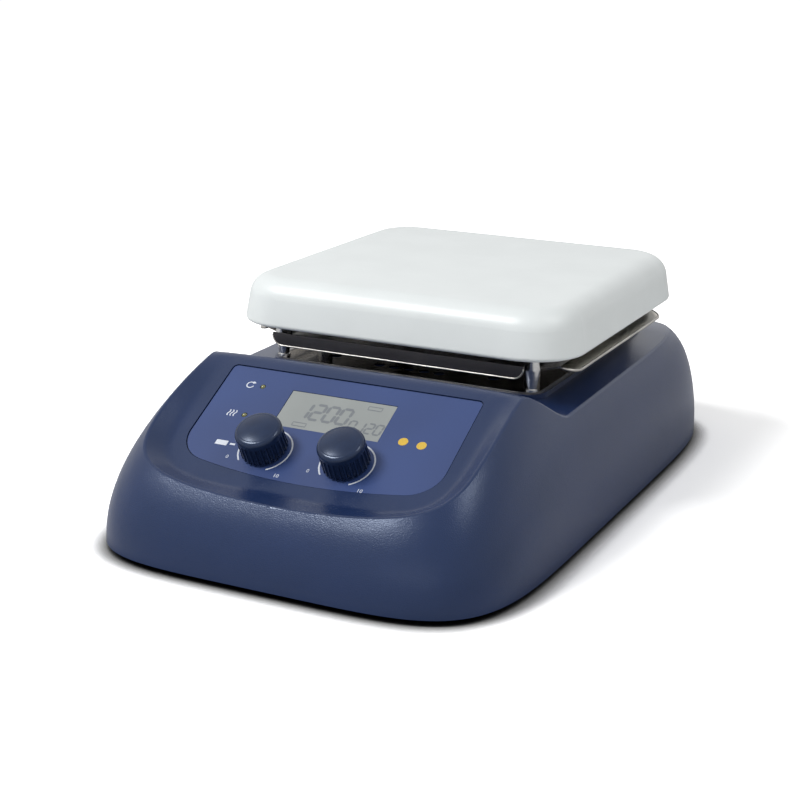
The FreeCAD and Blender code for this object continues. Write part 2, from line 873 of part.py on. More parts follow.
def tray_screws():
    length = tray_top - roof_under
    return [screw(x, y, tray_top, length, small_screw, small_head, small_head_height, -1)
            for x, y in four(spacer_x, spacer_offset_y)]


def shield_sheet_plate():
    """Polished sheet on the platform that throws the heat back, with vents."""
    sheet = rounded_block(platform_half_x - shield_inset, platform_half_y - shield_inset,
                          platform_corner - shield_inset, 0, plate_y, platform_top, shield_top)
    low, high = platform_top - 1, shield_top + 1
    sheet = drill(sheet, vent_places(), vent_radius, low, high)
    sheet = drill(sheet, lead_places(), lead_radius + lead_clearance, low, high)
    screws = four(post_x, post_offset_y) + four(spacer_x, spacer_offset_y)
    sheet = drill(sheet, screws, small_screw, low, high)
    return sheet.cut(rod(drive_bore, 0, plate_y, low, high))


def post(x, y):
    """Turned post with a narrow neck near its foot and a stud on top."""
    z = shield_top
    foot = rod(post_neck_radius + 0.8, x, y, z, z + 1)
    neck = Part.makeCone(post_neck_radius, post_radius, post_neck_length, V(x, y, z + 1))
    shank = rod(post_radius, x, y, z + 1 + post_neck_length, plate_seat)
    stud = rod(stud_radius, x, y, plate_seat, plate_seat + stud_length)
    shape = join([foot, neck, shank, stud])
    return shape.cut(rod(small_screw, x, y, z - 1, z + 9))


def post_screws():
    length = shield_top - roof_under + 8
    return [screw(x, y, roof_under, length, small_screw, small_head, small_head_height)
            for x, y in four(post_x, post_offset_y)]


# Stirring drive

def motor_bracket():
    plate = rounded_block(bracket_half, bracket_half, 6, 0, plate_y, motor_top, bracket_top)
    plate = drill(plate, four(bracket_screw, bracket_screw), small_screw, motor_top - 1, bracket_top + 1)
    return plate.cut(rod(drive_bore, 0, plate_y, motor_top - 1, bracket_top + 1))


def bracket_screws():
    return [screw(x, y, motor_top, bracket_sheet + 7, small_screw, small_head, small_head_height)
            for x, y in four(bracket_screw, bracket_screw)]


def motor_can():
    outer = rod(motor_radius, 0, plate_y, motor_bottom, motor_top - motor_wall)
    room = rod(motor_radius - motor_wall, 0, plate_y, motor_bottom + motor_wall, motor_top)
    seat = rod(bearing_radius + 2, 0, plate_y, motor_bottom + motor_wall,
               motor_bottom + motor_wall + bearing_width)
    well = rod(bearing_radius, 0, plate_y, motor_bottom + motor_wall,
               motor_bottom + motor_wall + bearing_width + 1)
    return outer.cut(room).fuse(seat).cut(well)


def motor_cap():
    low = motor_top - motor_wall
    cap = rod(motor_radius, 0, plate_y, low, motor_top)
    collar = rod(bearing_radius + 2, 0, plate_y, low - bearing_width, low)
    shape = join([cap, collar])
    shape = shape.cut(rod(bearing_radius, 0, plate_y, low - bearing_width - 1, low))
    return shape.cut(rod(motor_shaft_radius + 1, 0, plate_y, low - 1, motor_top + 1))


def motor_bearings():
    shapes = []
    for z in (motor_bottom + motor_wall, motor_top - motor_wall - bearing_width):
        ring = rod(bearing_radius, 0, plate_y, z, z + bearing_width)
        bore = rod(motor_shaft_radius + running_gap, 0, plate_y, z - 1, z + bearing_width + 1)
        shapes.append(ring.cut(bore))
    return shapes


def motor_middle():
    return (motor_bottom + motor_top) / 2


def stator():
    z = motor_middle() - stator_length / 2
    ring = rod(motor_radius - motor_wall, 0, plate_y, z, z + stator_length)
    return ring.cut(rod(stator_radius, 0, plate_y, z - 1, z + stator_length + 1))


def rotor_core():
    z = motor_middle() - core_length / 2
    core = rod(stator_radius - rotor_gap, 0, plate_y, z, z + core_length)
    return core.cut(rod(motor_shaft_radius, 0, plate_y, z - 1, z + core_length + 1))


def motor_shaft():
    low = motor_bottom + motor_wall + 0.3
    return rod(motor_shaft_radius, 0, plate_y, low, bar_bottom + bar_thickness + hub_lift)


def magnet_bar():
    low = bar_bottom
    bar = rounded_block(bar_length / 2, bar_width / 2, 5, 0, plate_y, low, low + bar_thickness)
    hub = rod(hub_radius, 0, plate_y, low - 1, low + bar_thickness + hub_lift)
    shape = join([bar, hub])
    return shape.cut(rod(motor_shaft_radius, 0, plate_y, low - 2, low + bar_thickness + hub_lift + 1))


def drive_magnets():
    low = bar_bottom + bar_thickness
    return [rod(magnet_radius, sx * magnet_x, plate_y, low, low + magnet_height) for sx in (-1, 1)]


# Base

def base_plate():
    """Sheet that closes the housing from below, with vent slots and screw holes."""
    points = half_ring(base_bottom, wall + base_clearance, 60)
    curve = Part.BSplineCurve()
    curve.interpolate(points)
    right = curve.toShape()
    left = right.mirror(V(0, 0, 0), V(1, 0, 0))
    face = Part.Face(Part.Wire([right, left]))
    plate = face.extrude(V(0, 0, base_sheet))
    low, high = base_bottom - 1, base_top + 1
    plate = drill(plate, base_screw_places(), base_screw, low, high)
    plate = drill(plate, foot_places().values(), foot_peg, low, high)
    slots = []
    for side in (-1, 1):
        for i in range(slot_count):
            y = plate_y - slot_pitch * (slot_count - 1) / 2 + i * slot_pitch
            slots.append(box(side * 48 - slot_length / 2, side * 48 + slot_length / 2,
                             y - slot_width / 2, y + slot_width / 2, low, high))
    return plate.cut(slots)


def base_screws():
    length = base_sheet + 12
    return [screw(x, y, base_bottom, length, base_screw, base_head, small_head_height)
            for x, y in base_screw_places()]


def foot_places():
    return {
        "front_left": (-foot_x, foot_front_y),
        "front_right": (foot_x, foot_front_y),
        "rear_left": (-foot_x, foot_rear_y),
        "rear_right": (foot_x, foot_rear_y),
    }


def rubber_foot(x, y):
    pad = rod(foot_radius, x, y, 0, base_bottom)
    low = [e for e in pad.Edges if e.BoundBox.ZMax < 0.01]
    pad = pad.makeChamfer(1.0, low)
    return join([pad, rod(foot_peg, x, y, base_bottom, base_top + 1)])


# Power board

def standoff_places():
    middle = (power_front_y + power_rear_y) / 2
    return four(power_half_x - standoff_inset, (power_rear_y - power_front_y) / 2 - standoff_inset, middle)


def board_standoffs():
    return [rod(standoff_radius, x, y, base_top, power_bottom) for x, y in standoff_places()]


def power_board():
    return box(-power_half_x, power_half_x, power_front_y, power_rear_y, power_bottom, power_top)


def terminal_block():
    y = plate_y + lead_offset_y
    return box(-lead_spacing - 6, lead_spacing + 6, y - 6, y + 6, power_top, terminal_top())


def transformer():
    """Iron core with a bobbin standing out above and below it."""
    core = box(-62, -24, power_front_y + 6, power_front_y + 38, power_top + 5, power_top + 25)
    coil = box(-54, -32, power_front_y + 2, power_front_y + 42, power_top, power_top + 27)
    return join([core, coil])


def capacitors():
    return [rod(8, 34, power_front_y + 12 + 20 * i, power_top, power_top + 26) for i in range(2)]


# Rear panel

def rear_screw_places():
    x = rear_half_x - rear_land_x / 2
    return [(sx * x, z) for sx in (-1, 1) for z in (rear_bottom + 5, rear_top - 5)]


def rear_cut_x(x, half_x, half_z, y0, y1):
    return box(x - half_x, x + half_x, y0, y1, rear_z - half_z, rear_z + half_z)


def rear_panel():
    sheet = rear_block(-rear_gap, -rear_gap, rear_face_y, rear_out)
    low, high = rear_face_y - 1, rear_out + 1
    cuts = [rear_cut_x(inlet_x, inlet_half_x, inlet_half_z, low, high)]
    cuts.append(rear_cut_x(rocker_x, switch_half_x, switch_half_z, low, high))
    cuts.append(rod_y_axis(fuse_radius, fuse_x, rear_z, low, high))
    cuts.append(rear_cut_x(data_x, 8.4, 4.1, low, high))
    cuts.append(rod_y_axis(probe_radius, probe_x, rear_z, low, high))
    for x, z in rear_screw_places():
        cuts.append(rod_y_axis(small_screw, x, z, low, high))
    return sheet.cut(cuts)


def rear_screws():
    shapes = []
    for x, z in rear_screw_places():
        shank = rod_y_axis(small_screw, x, z, rear_face_y - 5, rear_out)
        head = rod_y_axis(small_head, x, z, rear_out, rear_out + small_head_height)
        shapes.append(join([shank, head]))
    return shapes


def pin_places():
    row = pin_height / 2
    return [(inlet_x - pin_spacing, rear_z - row), (inlet_x + pin_spacing, rear_z - row),
            (inlet_x, rear_z + row)]


def inlet_pin(x, z, y0, y1):
    return box(x - pin_width / 2, x + pin_width / 2, y0, y1, z - pin_height / 2, z + pin_height / 2)


def mains_inlet():
    """Flanged socket body, hollow where the plug goes in."""
    body = rear_cut_x(inlet_x, inlet_half_x, inlet_half_z, rear_out - inlet_depth, rear_out)
    flange = rear_cut_x(inlet_x, inlet_flange_x, inlet_flange_z, rear_out, rear_out + inlet_flange)
    room = rear_cut_x(inlet_x, inlet_half_x - inlet_wall, inlet_half_z - inlet_wall,
                      rear_out - inlet_depth + inlet_back, rear_out + inlet_flange + 1)
    shape = join([body, flange]).cut(room)
    back = rear_out - inlet_depth
    return shape.cut([inlet_pin(x, z, back - 1, back + inlet_back + 1) for x, z in pin_places()])


def inlet_pins():
    back = rear_out - inlet_depth
    return [inlet_pin(x, z, back - 4, back + inlet_back + pin_reach) for x, z in pin_places()]


def switch_frame():
    back = rear_out - switch_depth
    body = rear_cut_x(rocker_x, switch_half_x, switch_half_z, back, rear_out)
    flange = rear_cut_x(rocker_x, switch_half_x + switch_rim, switch_half_z + switch_rim,
                        rear_out, rear_out + switch_flange)
    room = rear_cut_x(rocker_x, switch_half_x - switch_wall, switch_half_z - switch_wall,
                      back + 1.5, rear_out + switch_flange + 1)
    pivot = Part.makeCylinder(rocker_pin_radius + running_gap, 2 * (switch_half_x - 0.4),
                              V(rocker_x - switch_half_x + 0.4, rocker_pivot_y(), rear_z), V(1, 0, 0))
    return join([body, flange]).cut(room).cut(pivot)


def rocker_pivot_y():
    return rear_out - 4.0


def power_rocker():
    """Tipping key with two faces that meet in a shallow valley, on a cross pin."""
    half = switch_half_x - switch_wall - rocker_side_gap
    tip = switch_half_z - switch_wall - 1.4
    points = [(-5, -4), (-5, 4), (3.0, tip + 0.6), (6.4, tip), (4.9, 0), (6.4, -tip),
              (3.0, -tip - 0.6), (-5, -4)]
    path = [V(rocker_x - half, rocker_pivot_y() + y, rear_z + z) for y, z in points]
    key = Part.Face(Part.makePolygon(path)).extrude(V(2 * half, 0, 0))
    reach = switch_half_x - 0.5
    pin = Part.makeCylinder(rocker_pin_radius, 2 * reach,
                            V(rocker_x - reach, rocker_pivot_y(), rear_z), V(1, 0, 0))
    shape = join([key, pin])
    shape.rotate(V(rocker_x, rocker_pivot_y(), rear_z), V(1, 0, 0), -rocker_rest)
    return shape


def fuse_holder():
    body = rod_y_axis(fuse_radius, fuse_x, rear_z, rear_out - 20, rear_out)
    cap = rod_y_axis(fuse_radius + 2, fuse_x, rear_z, rear_out, rear_out + 3)
    slot = box(fuse_x - fuse_radius, fuse_x + fuse_radius, rear_out + 2, rear_out + 4,
               rear_z - 0.8, rear_z + 0.8)
    return join([body, cap]).cut(slot)


def data_socket():
    """Nine-way socket with its flange and two jack screws."""
    block = rear_cut_x(data_x, 8.4, 4.1, rear_out - 10, rear_out + 5)
    flange = rear_cut_x(data_x, 15.4, 6.2, rear_out, rear_out + 1)
    shapes = [join([block, flange])]
    for side in (-1, 1):
        shapes.append(rod_y_axis(2.4, data_x + side * 12.4, rear_z, rear_out + 1, rear_out + 5))
    return shapes


def probe_socket():
    body = rod_y_axis(probe_radius, probe_x, rear_z, rear_out - 12, rear_out)
    flange = rod_y_axis(probe_radius + 1.5, probe_x, rear_z, rear_out, rear_out + 1.5)
    recess = rod_y_axis(probe_radius - 2, probe_x, rear_z, rear_out - 0.5, rear_out + 2)
    return join([body, flange]).cut(recess)


def rod_socket():
    """Threaded insert in the roof behind the plate, for a vertical support rod."""
    sleeve = rod(rod_insert_radius, rod_x, rod_y, rod_seat - rod_depth, rod_seat)
    flange = rod(rod_flange_radius, rod_x, rod_y, rod_seat, rod_seat + rod_flange)
    bore = rod(rod_thread_radius, rod_x, rod_y, rod_seat - rod_depth + 2, rod_seat + rod_flange + 1)
    return join([sleeve, flange]).cut(bore)


def parts():
    """Every sub-part by name."""
    named = {
        "upper_housing": upper_housing(),
        "base_plate": base_plate(),
        "base_screws": base_screws(),
        "panel_overlay": panel_overlay(),
        "display_glass": display_glass(),
        "display_frame": display_frame(),
        "control_board": control_board(),
        "board_screws": board_screws(),
        "panel_lamps": panel_lamps(),
        "work_plate": work_plate(),
        "heating_element": heating_element(),
        "insulation_pad": insulation_pad(),
        "plate_sensor": plate_sensor(),
        "element_cover": element_cover(),
        "cover_screws": cover_screws(),
        "heater_leads": heater_leads(),
        "heat_tray": heat_tray(),
        "tray_spacers": tray_spacers(),
        "tray_screws": tray_screws(),
        "shield_sheet": shield_sheet_plate(),
        "post_screws": post_screws(),
        "motor_bracket": motor_bracket(),
        "bracket_screws": bracket_screws(),
        "motor_can": motor_can(),
        "motor_cap": motor_cap(),
        "motor_bearings": motor_bearings(),
        "stator": stator(),
        "rotor_core": rotor_core(),
        "motor_shaft": motor_shaft(),
        "magnet_bar": magnet_bar(),
        "drive_magnets": drive_magnets(),
        "board_standoffs": board_standoffs(),
        "power_board": power_board(),
        "terminal_block": terminal_block(),
        "transformer": transformer(),
        "capacitors": capacitors(),
        "rear_panel": rear_panel(),
        "rear_screws": rear_screws(),
        "mains_inlet": mains_inlet(),
        "inlet_pins": inlet_pins(),
        "switch_frame": switch_frame(),
        "power_rocker": power_rocker(),
        "fuse_holder": fuse_holder(),
        "data_socket": data_socket(),
        "probe_socket": probe_socket(),
        "rod_socket": rod_socket(),
    }
    for name, x in knob_places().items():
        named[name + "_control"] = control_body(x)
        named[name + "_shaft"] = control_shaft(x)
        named[name + "_knob"] = knob(x)
    for name, (x, y) in foot_places().items():
        named["foot_" + name] = rubber_foot(x, y)
    names = ("front_left", "rear_left", "front_right", "rear_right")
    for name, (x, y) in zip(names, four(post_x, post_offset_y)):
        named["post_" + name] = post(x, y)
    return named


os.makedirs("parts", exist_ok=True)
for node, shape in parts().items():
    if isinstance(shape, list):
        shape = Part.makeCompound(shape)
    shape.exportStep("parts/" + node + ".step")
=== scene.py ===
import bmesh
import bpy
import numpy as np
from math import atan, cos, pi, radians, sin
from mathutils import Matrix, Vector


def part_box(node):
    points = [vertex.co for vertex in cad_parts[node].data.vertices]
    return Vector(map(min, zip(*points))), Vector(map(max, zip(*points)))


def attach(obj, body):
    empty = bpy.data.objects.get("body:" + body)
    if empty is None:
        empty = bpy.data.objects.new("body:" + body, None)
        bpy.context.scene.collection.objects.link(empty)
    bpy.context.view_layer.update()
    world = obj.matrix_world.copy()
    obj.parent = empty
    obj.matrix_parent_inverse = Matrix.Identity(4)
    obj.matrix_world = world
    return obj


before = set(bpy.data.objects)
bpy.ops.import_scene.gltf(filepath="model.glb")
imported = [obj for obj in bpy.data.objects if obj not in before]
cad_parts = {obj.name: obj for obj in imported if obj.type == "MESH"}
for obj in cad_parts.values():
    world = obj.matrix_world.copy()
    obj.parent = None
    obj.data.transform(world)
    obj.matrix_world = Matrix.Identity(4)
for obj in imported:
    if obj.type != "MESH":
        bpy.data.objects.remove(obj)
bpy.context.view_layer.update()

bl_info = {
    "name": "Hotplate Stirrer",
    "version": (1, 0, 0),
    "blender": (4, 5, 0),
    "location": "3D View > Sidebar > Stirrer",
    "description": "Dresses the hotplate stirrer: panel, display, dials, plate, tray, finishes",
    "category": "Add Mesh",
}

MM = 0.001

# The sloped deck's plane: the middle of its upper edge, and the tilt of a rise of 0.55 in 1
DECK_EDGE = Vector((0.0, -0.0883, 0.0764))
DECK_TILT = atan(0.55)

# Levels square to that plane: the film's face and the pane's face, and the segments' thickness
PRINT_LEVEL = -0.4 * MM
PANE_LEVEL = PRINT_LEVEL - 0.2 * MM
SEGMENT_LIFT = 0.03 * MM

# Printed marks, as (x, s) on the deck: x to the right and s up the slope
DIAL_S = -51.0 * MM
DIAL_X = {"heat": -23.9 * MM, "stir": 19.4 * MM}
ARC_ENDS = (-62.0, 222.0)  # degrees, counted from the right towards the top
NUMBER_SIZE = 3.0 * MM
NUMBERS = {"low": ("0", -16.6 * MM, -8.0 * MM), "high": ("10", 13.0 * MM, -14.2 * MM)}
MARKER_BARS = ((-51.0, -44.6, 3.0), (-43.2, -40.4, 1.1))  # from x, to x and width, in mm
TURNING_SIGN = (-52.5 * MM, -11.7 * MM)
WARMTH_SIGN = (-52.5 * MM, -31.6 * MM)
DOTS = ((39.6 * MM, -32.0 * MM), (49.2 * MM, -32.6 * MM))
DOT_RADIUS = 2.4 * MM

# The display: text, first x, pitch, s and height of its two rows, and its boxes, all in mm
DIGIT_ROWS = (("1200", -20.0, 7.1, -27.6, 10.0), ("0120", 8.6, 4.7, -30.6, 6.4))
BOXES = ((17.4, -14.6), (-15.4, -31.8))
BOX_HALF = (3.6 * MM, 1.1 * MM)
SEGMENTS = {
    "0": "abcdef", "1": "bc", "2": "abdeg", "3": "abcdg", "4": "bcfg",
    "5": "acdfg", "6": "acdefg", "7": "abc", "8": "abcdefg", "9": "abcdfg"}

# The folded tray, as in the solid: the middle of the plate above it, its channel and its wings
PLATE_Y = sum(corner[1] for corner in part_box("work_plate")) / 2
CHANNEL_HALF, CHANNEL_CORNER = 70.0 * MM, 5.5 * MM
WING_REACH, WING_CORNER = 69.6 * MM, 9.0 * MM
WING_EDGE_UP, RIDGE_UP, RIDGE_WIDTH = 2.0 * MM, 2.1 * MM, 7.9 * MM
EDGE_RADIUS, HEM_RADIUS = 0.4 * MM, 0.8 * MM

# The stage: where the camera and the lamps point, and what stands round the object, in metres
LOOK_AT = Vector((-0.01928, 0.0, 0.04159))
CAMERA_DISTANCE = 0.87206
FLOOR_HALF = 6.0
SOFTBOXES = (  # name, place, width, height, share of the key lamp's power, lights matt surfaces
    ("key_softbox", (-0.62, -0.76, 1.14), 0.6, 0.34, 1.0, True),
    ("sheen_softbox", (-0.61, -0.75, 1.12), 0.75, 0.3, 0.75, False),
    ("front_softbox", (0.3, -1.7, 0.35), 1.4, 0.5, 0.1, True),
    ("right_softbox", (0.95, -0.05, 1.22), 0.5, 0.5, 0.36, True))

# Finishes: the bluish shine of the blue coat and dials, the stretch of lines that run along X,
# and the distance from the middle, in metres, over which the tray's wings turn from painted shade
# to bright
BLUE_SHEEN = (0.72, 0.82, 1.0, 1.0)
ALONG_X = (0.02, 1.0, 1.0)
BRIGHT_BETWEEN = (0.081, 0.085)


# Sizes and colours that a user may change

class StirrerPrint(bpy.types.PropertyGroup):
    """Printed marks on the sloped panel."""
    arc_radius: bpy.props.FloatProperty(
        name="Arc radius", description="Radius of the printed arc round a dial",
        default=13.2 * MM, unit="LENGTH")
    arc_width: bpy.props.FloatProperty(
        name="Arc width", description="Width of the printed arc",
        default=0.75 * MM, unit="LENGTH")
    lift: bpy.props.FloatProperty(
        name="Ink thickness", description="How far the ink stands on the film",
        default=0.05 * MM, unit="LENGTH")
    ink: bpy.props.StringProperty(
        name="Ink colour", description="Colour of the printed marks", default="#D9DEE8")
    dot: bpy.props.StringProperty(
        name="Dot colour", description="Colour of the two plain dots", default="#D8B23C")


class StirrerFinish(bpy.types.PropertyGroup):
    """Colours of the main finishes."""
    paint: bpy.props.StringProperty(
        name="Housing", description="Textured coating on the housing", default="#1A2A4E")
    film: bpy.props.StringProperty(
        name="Panel film", description="Printed film on the sloped panel", default="#304373")
    enamel: bpy.props.StringProperty(
        name="Plate", description="Enamel on the work plate", default="#E4E9E9")
    dial: bpy.props.StringProperty(
        name="Dials", description="Moulded plastic of the two dials", default="#162440")
    screen: bpy.props.StringProperty(
        name="Screen", description="Unlit display behind its window", default="#8D9291")


class StirrerStage(bpy.types.PropertyGroup):
    """Floor, lamps and camera."""
    azimuth: bpy.props.FloatProperty(
        name="Azimuth", description="Camera direction round the object",
        default=radians(26.13), subtype="ANGLE")
    elevation: bpy.props.FloatProperty(
        name="Elevation", description="Camera height above the horizon",
        default=radians(16.66), subtype="ANGLE")
    roll: bpy.props.FloatProperty(
        name="Roll", description="Camera turn about its own axis",
        default=radians(0.77), subtype="ANGLE")
    lens: bpy.props.FloatProperty(
        name="Lens", description="Focal length on a 36 mm sensor, in millimetres", default=72.95)
    key: bpy.props.FloatProperty(
        name="Key lamp", description="Power of the large lamp at the front left, in watts",
        default=13.5)
    sky: bpy.props.FloatProperty(
        name="Sky", description="Strength of the even light all round", default=0.3)
    floor_near: bpy.props.FloatProperty(
        name="Floor by the object", description="Shown whiteness of the floor near the object",
        default=1.8)
    floor_far: bpy.props.FloatProperty(
        name="Floor far off", description="Shown whiteness of the floor far from the object",
        default=3.4)


# Small tools

def paint_colour(hex_text):
    """sRGB hex to linear red, green, blue and alpha."""
    levels = np.array([int(hex_text[i:i + 2], 16) for i in (1, 3, 5)]) / 255
    linear = np.where(levels <= 0.04045, levels / 12.92, ((levels + 0.055) / 1.055) ** 2.4)
    return (*[float(v) for v in linear], 1.0)


def add(tree, kind, settings=None, inputs=None):
    """Add one node, set its settings, and set or link its inputs."""
    made = tree.nodes.new(kind)
    for key, value in (settings or {}).items():
        setattr(made, key, value)
    for key, value in (inputs or {}).items():
        if isinstance(value, bpy.types.NodeSocket):
            tree.links.new(value, made.inputs[key])
        else:
            made.inputs[key].default_value = value
    return made


def blank_material(name):
    """A new material without any nodes, and its node tree."""
    made = bpy.data.materials.new(name)
    made.use_nodes = True
    made.node_tree.nodes.clear()
    return made, made.node_tree


def finish_material(tree, inputs):
    """Close a material with one Principled shader."""
    shader = add(tree, "ShaderNodeBsdfPrincipled", inputs=inputs)
    add(tree, "ShaderNodeOutputMaterial", inputs={"Surface": shader.outputs[0]})


def object_space(tree, scale=(1.0, 1.0, 1.0), turn=(0.0, 0.0, 0.0)):
    """Object coordinates in metres, stretched and turned."""
    place = add(tree, "ShaderNodeTexCoord")
    return add(tree, "ShaderNodeMapping", inputs={
        "Vector": place.outputs["Object"], "Scale": scale, "Rotation": turn}).outputs[0]


def two_tones(tree, factor, low, high, start=0.35, end=0.65):
    """Colour that runs from one tone to another with a grey value."""
    ramp = add(tree, "ShaderNodeValToRGB", inputs={"Fac": factor})
    ramp.color_ramp.elements[0].position = start
    ramp.color_ramp.elements[1].position = end
    ramp.color_ramp.elements[0].color = paint_colour(low)
    ramp.color_ramp.elements[1].color = paint_colour(high)
    return ramp.outputs["Color"]


def grain(tree, vector, size_mm, detail):
    """Noise whose grains are about a size in millimetres across."""
    return add(tree, "ShaderNodeTexNoise", inputs={
        "Vector": vector, "Scale": 1.0 / (size_mm * MM), "Detail": detail}).outputs["Fac"]


def relief(tree, height, depth_mm, strength):
    """Bump of a depth in millimetres, faded by a strength from 0 to 1."""
    return add(tree, "ShaderNodeBump", inputs={
        "Height": height, "Distance": depth_mm * MM, "Strength": strength}).outputs[0]


def spread(tree, value, low, high):
    """Carry a 0 to 1 value over to a range."""
    return add(tree, "ShaderNodeMapRange", inputs={
        "Value": value, "To Min": low, "To Max": high}).outputs[0]


def shade(hex_text, factor):
    """A hex colour made darker or lighter."""
    levels = [min(255, round(int(hex_text[i:i + 2], 16) * factor)) for i in (1, 3, 5)]
    return "#" + "".join("%02X" % v for v in levels)


# Materials

def textured_coat(name, colour, grain_mm=0.55, depth_mm=0.12, rough=(0.25, 0.35)):
    """Polyester powder coat: fine leather-like grain that breaks up the shine.

    The real grain is about 0.3 mm. That is too fine to show, so it is drawn coarser."""
    made, tree = blank_material(name)
    space = object_space(tree)
    fine = grain(tree, space, grain_mm, 1.0)
    cloud = grain(tree, space, 38.0, 2.0)
    finish_material(tree, {
        "Base Color": two_tones(tree, cloud, shade(colour, 0.97), shade(colour, 1.03)),
        "Roughness": spread(tree, fine, *rough),
        "IOR": 1.45,
        "Specular Tint": BLUE_SHEEN,
        "Normal": relief(tree, fine, depth_mm, 0.6)})
    return made


def printed_film(name, colour):
    """Polycarbonate overlay: fine velvet surface over back-printed ink.

    The velvet's own grain is under 0.1 mm and is drawn at 0.3 mm, so that it shows."""
    made, tree = blank_material(name)
    space = object_space(tree)
    fine = grain(tree, space, 0.3, 1.0)
    cloud = grain(tree, space, 60.0, 1.0)
    finish_material(tree, {
        "Base Color": two_tones(tree, cloud, shade(colour, 0.96), shade(colour, 1.04)),
        "Roughness": spread(tree, fine, 0.36, 0.44),
        "IOR": 1.4,
        "Normal": relief(tree, fine, 0.008, 0.4)})
    return made


def vitreous_enamel(name, colour):
    """Fired enamel: smooth glass over white, with a slow waviness and faint wear on top."""
    made, tree = blank_material(name)
    space = object_space(tree)
    wave = grain(tree, space, 30.0, 2.0)
    wear = grain(tree, object_space(tree, (1.0, 3.0, 1.0), (0, 0, 0.4)), 4.0, 5.0)
    finish_material(tree, {
        "Base Color": two_tones(tree, wave, shade(colour, 0.985), colour),
        "Roughness": spread(tree, wear, 0.3, 0.42),
        "IOR": 1.4,
        "Normal": relief(tree, wave, 0.12, 0.25)})
    return made


def moulded_plastic(name, colour, rough=(0.3, 0.4), grain_mm=0.35, depth_mm=0.02):
    """Injection-moulded ABS: even colour with a light spark-eroded texture."""
    made, tree = blank_material(name)
    space = object_space(tree)
    fine = grain(tree, space, grain_mm, 1.0)
    cloud = grain(tree, space, 12.0, 2.0)
    finish_material(tree, {
        "Base Color": two_tones(tree, cloud, shade(colour, 0.94), shade(colour, 1.06)),
        "Roughness": spread(tree, fine, *rough),
        "IOR": 1.53,
        "Normal": relief(tree, fine, depth_mm, 0.4)})
    return made


def polished_plastic(name, colour):
    """Polished ABS: deep gloss with only a trace of flow lines."""
    made, tree = blank_material(name)
    space = object_space(tree)
    flow = grain(tree, space, 6.0, 2.0)
    finish_material(tree, {
        "Base Color": two_tones(tree, flow, shade(colour, 0.95), shade(colour, 1.05)),
        "Roughness": spread(tree, flow, 0.2, 0.28),
        "IOR": 1.42,
        "Specular Tint": BLUE_SHEEN,
        "Normal": relief(tree, flow, 0.02, 0.15)})
    return made


def rolled_steel(name, colour, rough=(0.2, 0.34), line_mm=0.25, depth_mm=0.01):
    """Cold-rolled stainless: lines along the rolling direction, which is X, and faint smudges.

    Real rolling lines are under 0.1 mm wide. They are drawn wider, so that they show."""
    made, tree = blank_material(name)
    lines = grain(tree, object_space(tree, ALONG_X), line_mm, 2.0)
    smudge = grain(tree, object_space(tree), 14.0, 3.0)
    finish_material(tree, {
        "Base Color": two_tones(tree, smudge, shade(colour, 0.9), shade(colour, 1.06)),
        "Metallic": 1.0,
        "Roughness": spread(tree, lines, *rough),
        "Normal": relief(tree, lines, depth_mm, 0.35)})
    return made


def shade_painted_steel(name, painted_shade_tone, steel_tone):
    """Stainless sheet darkened by painted shade, the shadow and dark reflection under the plate,
    that turns to bright steel towards its side edges.

    The colour changes over the last ridge of each wing. The rolling lines are drawn wider than
    they are, as on the other sheets."""
    made, tree = blank_material(name)
    lines = grain(tree, object_space(tree, ALONG_X), 0.25, 2.0)
    parts = add(tree, "ShaderNodeSeparateXYZ", inputs={0: object_space(tree)})
    # Painted shade under the plate: dark near the middle, fading out with the distance from it
    out = add(tree, "ShaderNodeMath", {"operation": "ABSOLUTE"}, {0: parts.outputs["X"]})
    fade = add(tree, "ShaderNodeMapRange", inputs={
        "Value": out.outputs[0],
        "From Min": BRIGHT_BETWEEN[0], "From Max": BRIGHT_BETWEEN[1]})
    finish_material(tree, {
        "Base Color": two_tones(tree, fade.outputs[0], painted_shade_tone, steel_tone, 0.0, 1.0),
        "Metallic": 1.0,
        "Roughness": spread(tree, lines, 0.14, 0.26),
        "Normal": relief(tree, lines, 0.01, 0.35)})
    return made


def turned_metal(name, colour, rough=(0.16, 0.3), pitch_mm=0.3):
    """Turned bar: fine rings left by the tool, square to the axis.

    Real rings are about 0.1 mm apart. They are drawn further apart, so that they show."""
    made, tree = blank_material(name)
    rings = grain(tree, object_space(tree, (0.05, 0.05, 1.0)), pitch_mm, 1.0)
    finish_material(tree, {
        "Base Color": two_tones(tree, rings, shade(colour, 0.92), shade(colour, 1.05)),
        "Metallic": 1.0,
        "Roughness": spread(tree, rings, *rough),
        "Normal": relief(tree, rings, 0.015, 0.35)})
    return made


def bare_metal(name, colour, rough=(0.3, 0.45), grain_mm=0.6):
    """Plated or sintered metal: slightly mottled, no direction."""
    made, tree = blank_material(name)
    fine = grain(tree, object_space(tree), grain_mm, 3.0)
    finish_material(tree, {
        "Base Color": two_tones(tree, fine, shade(colour, 0.88), shade(colour, 1.06)),
        "Metallic": 1.0,
        "Roughness": spread(tree, fine, *rough),
        "Normal": relief(tree, fine, 0.01, 0.3)})
    return made


def moulded_rubber(name, colour):
    """Moulded rubber: matt, with fine pits and dust in them."""
    made, tree = blank_material(name)
    pits = grain(tree, object_space(tree), 0.5, 2.0)
    finish_material(tree, {
        "Base Color": two_tones(tree, pits, shade(colour, 0.8), shade(colour, 1.3)),
        "Roughness": spread(tree, pits, 0.7, 0.9),
        "IOR": 1.52,
        "Normal": relief(tree, pits, 0.05, 0.4)})
    return made


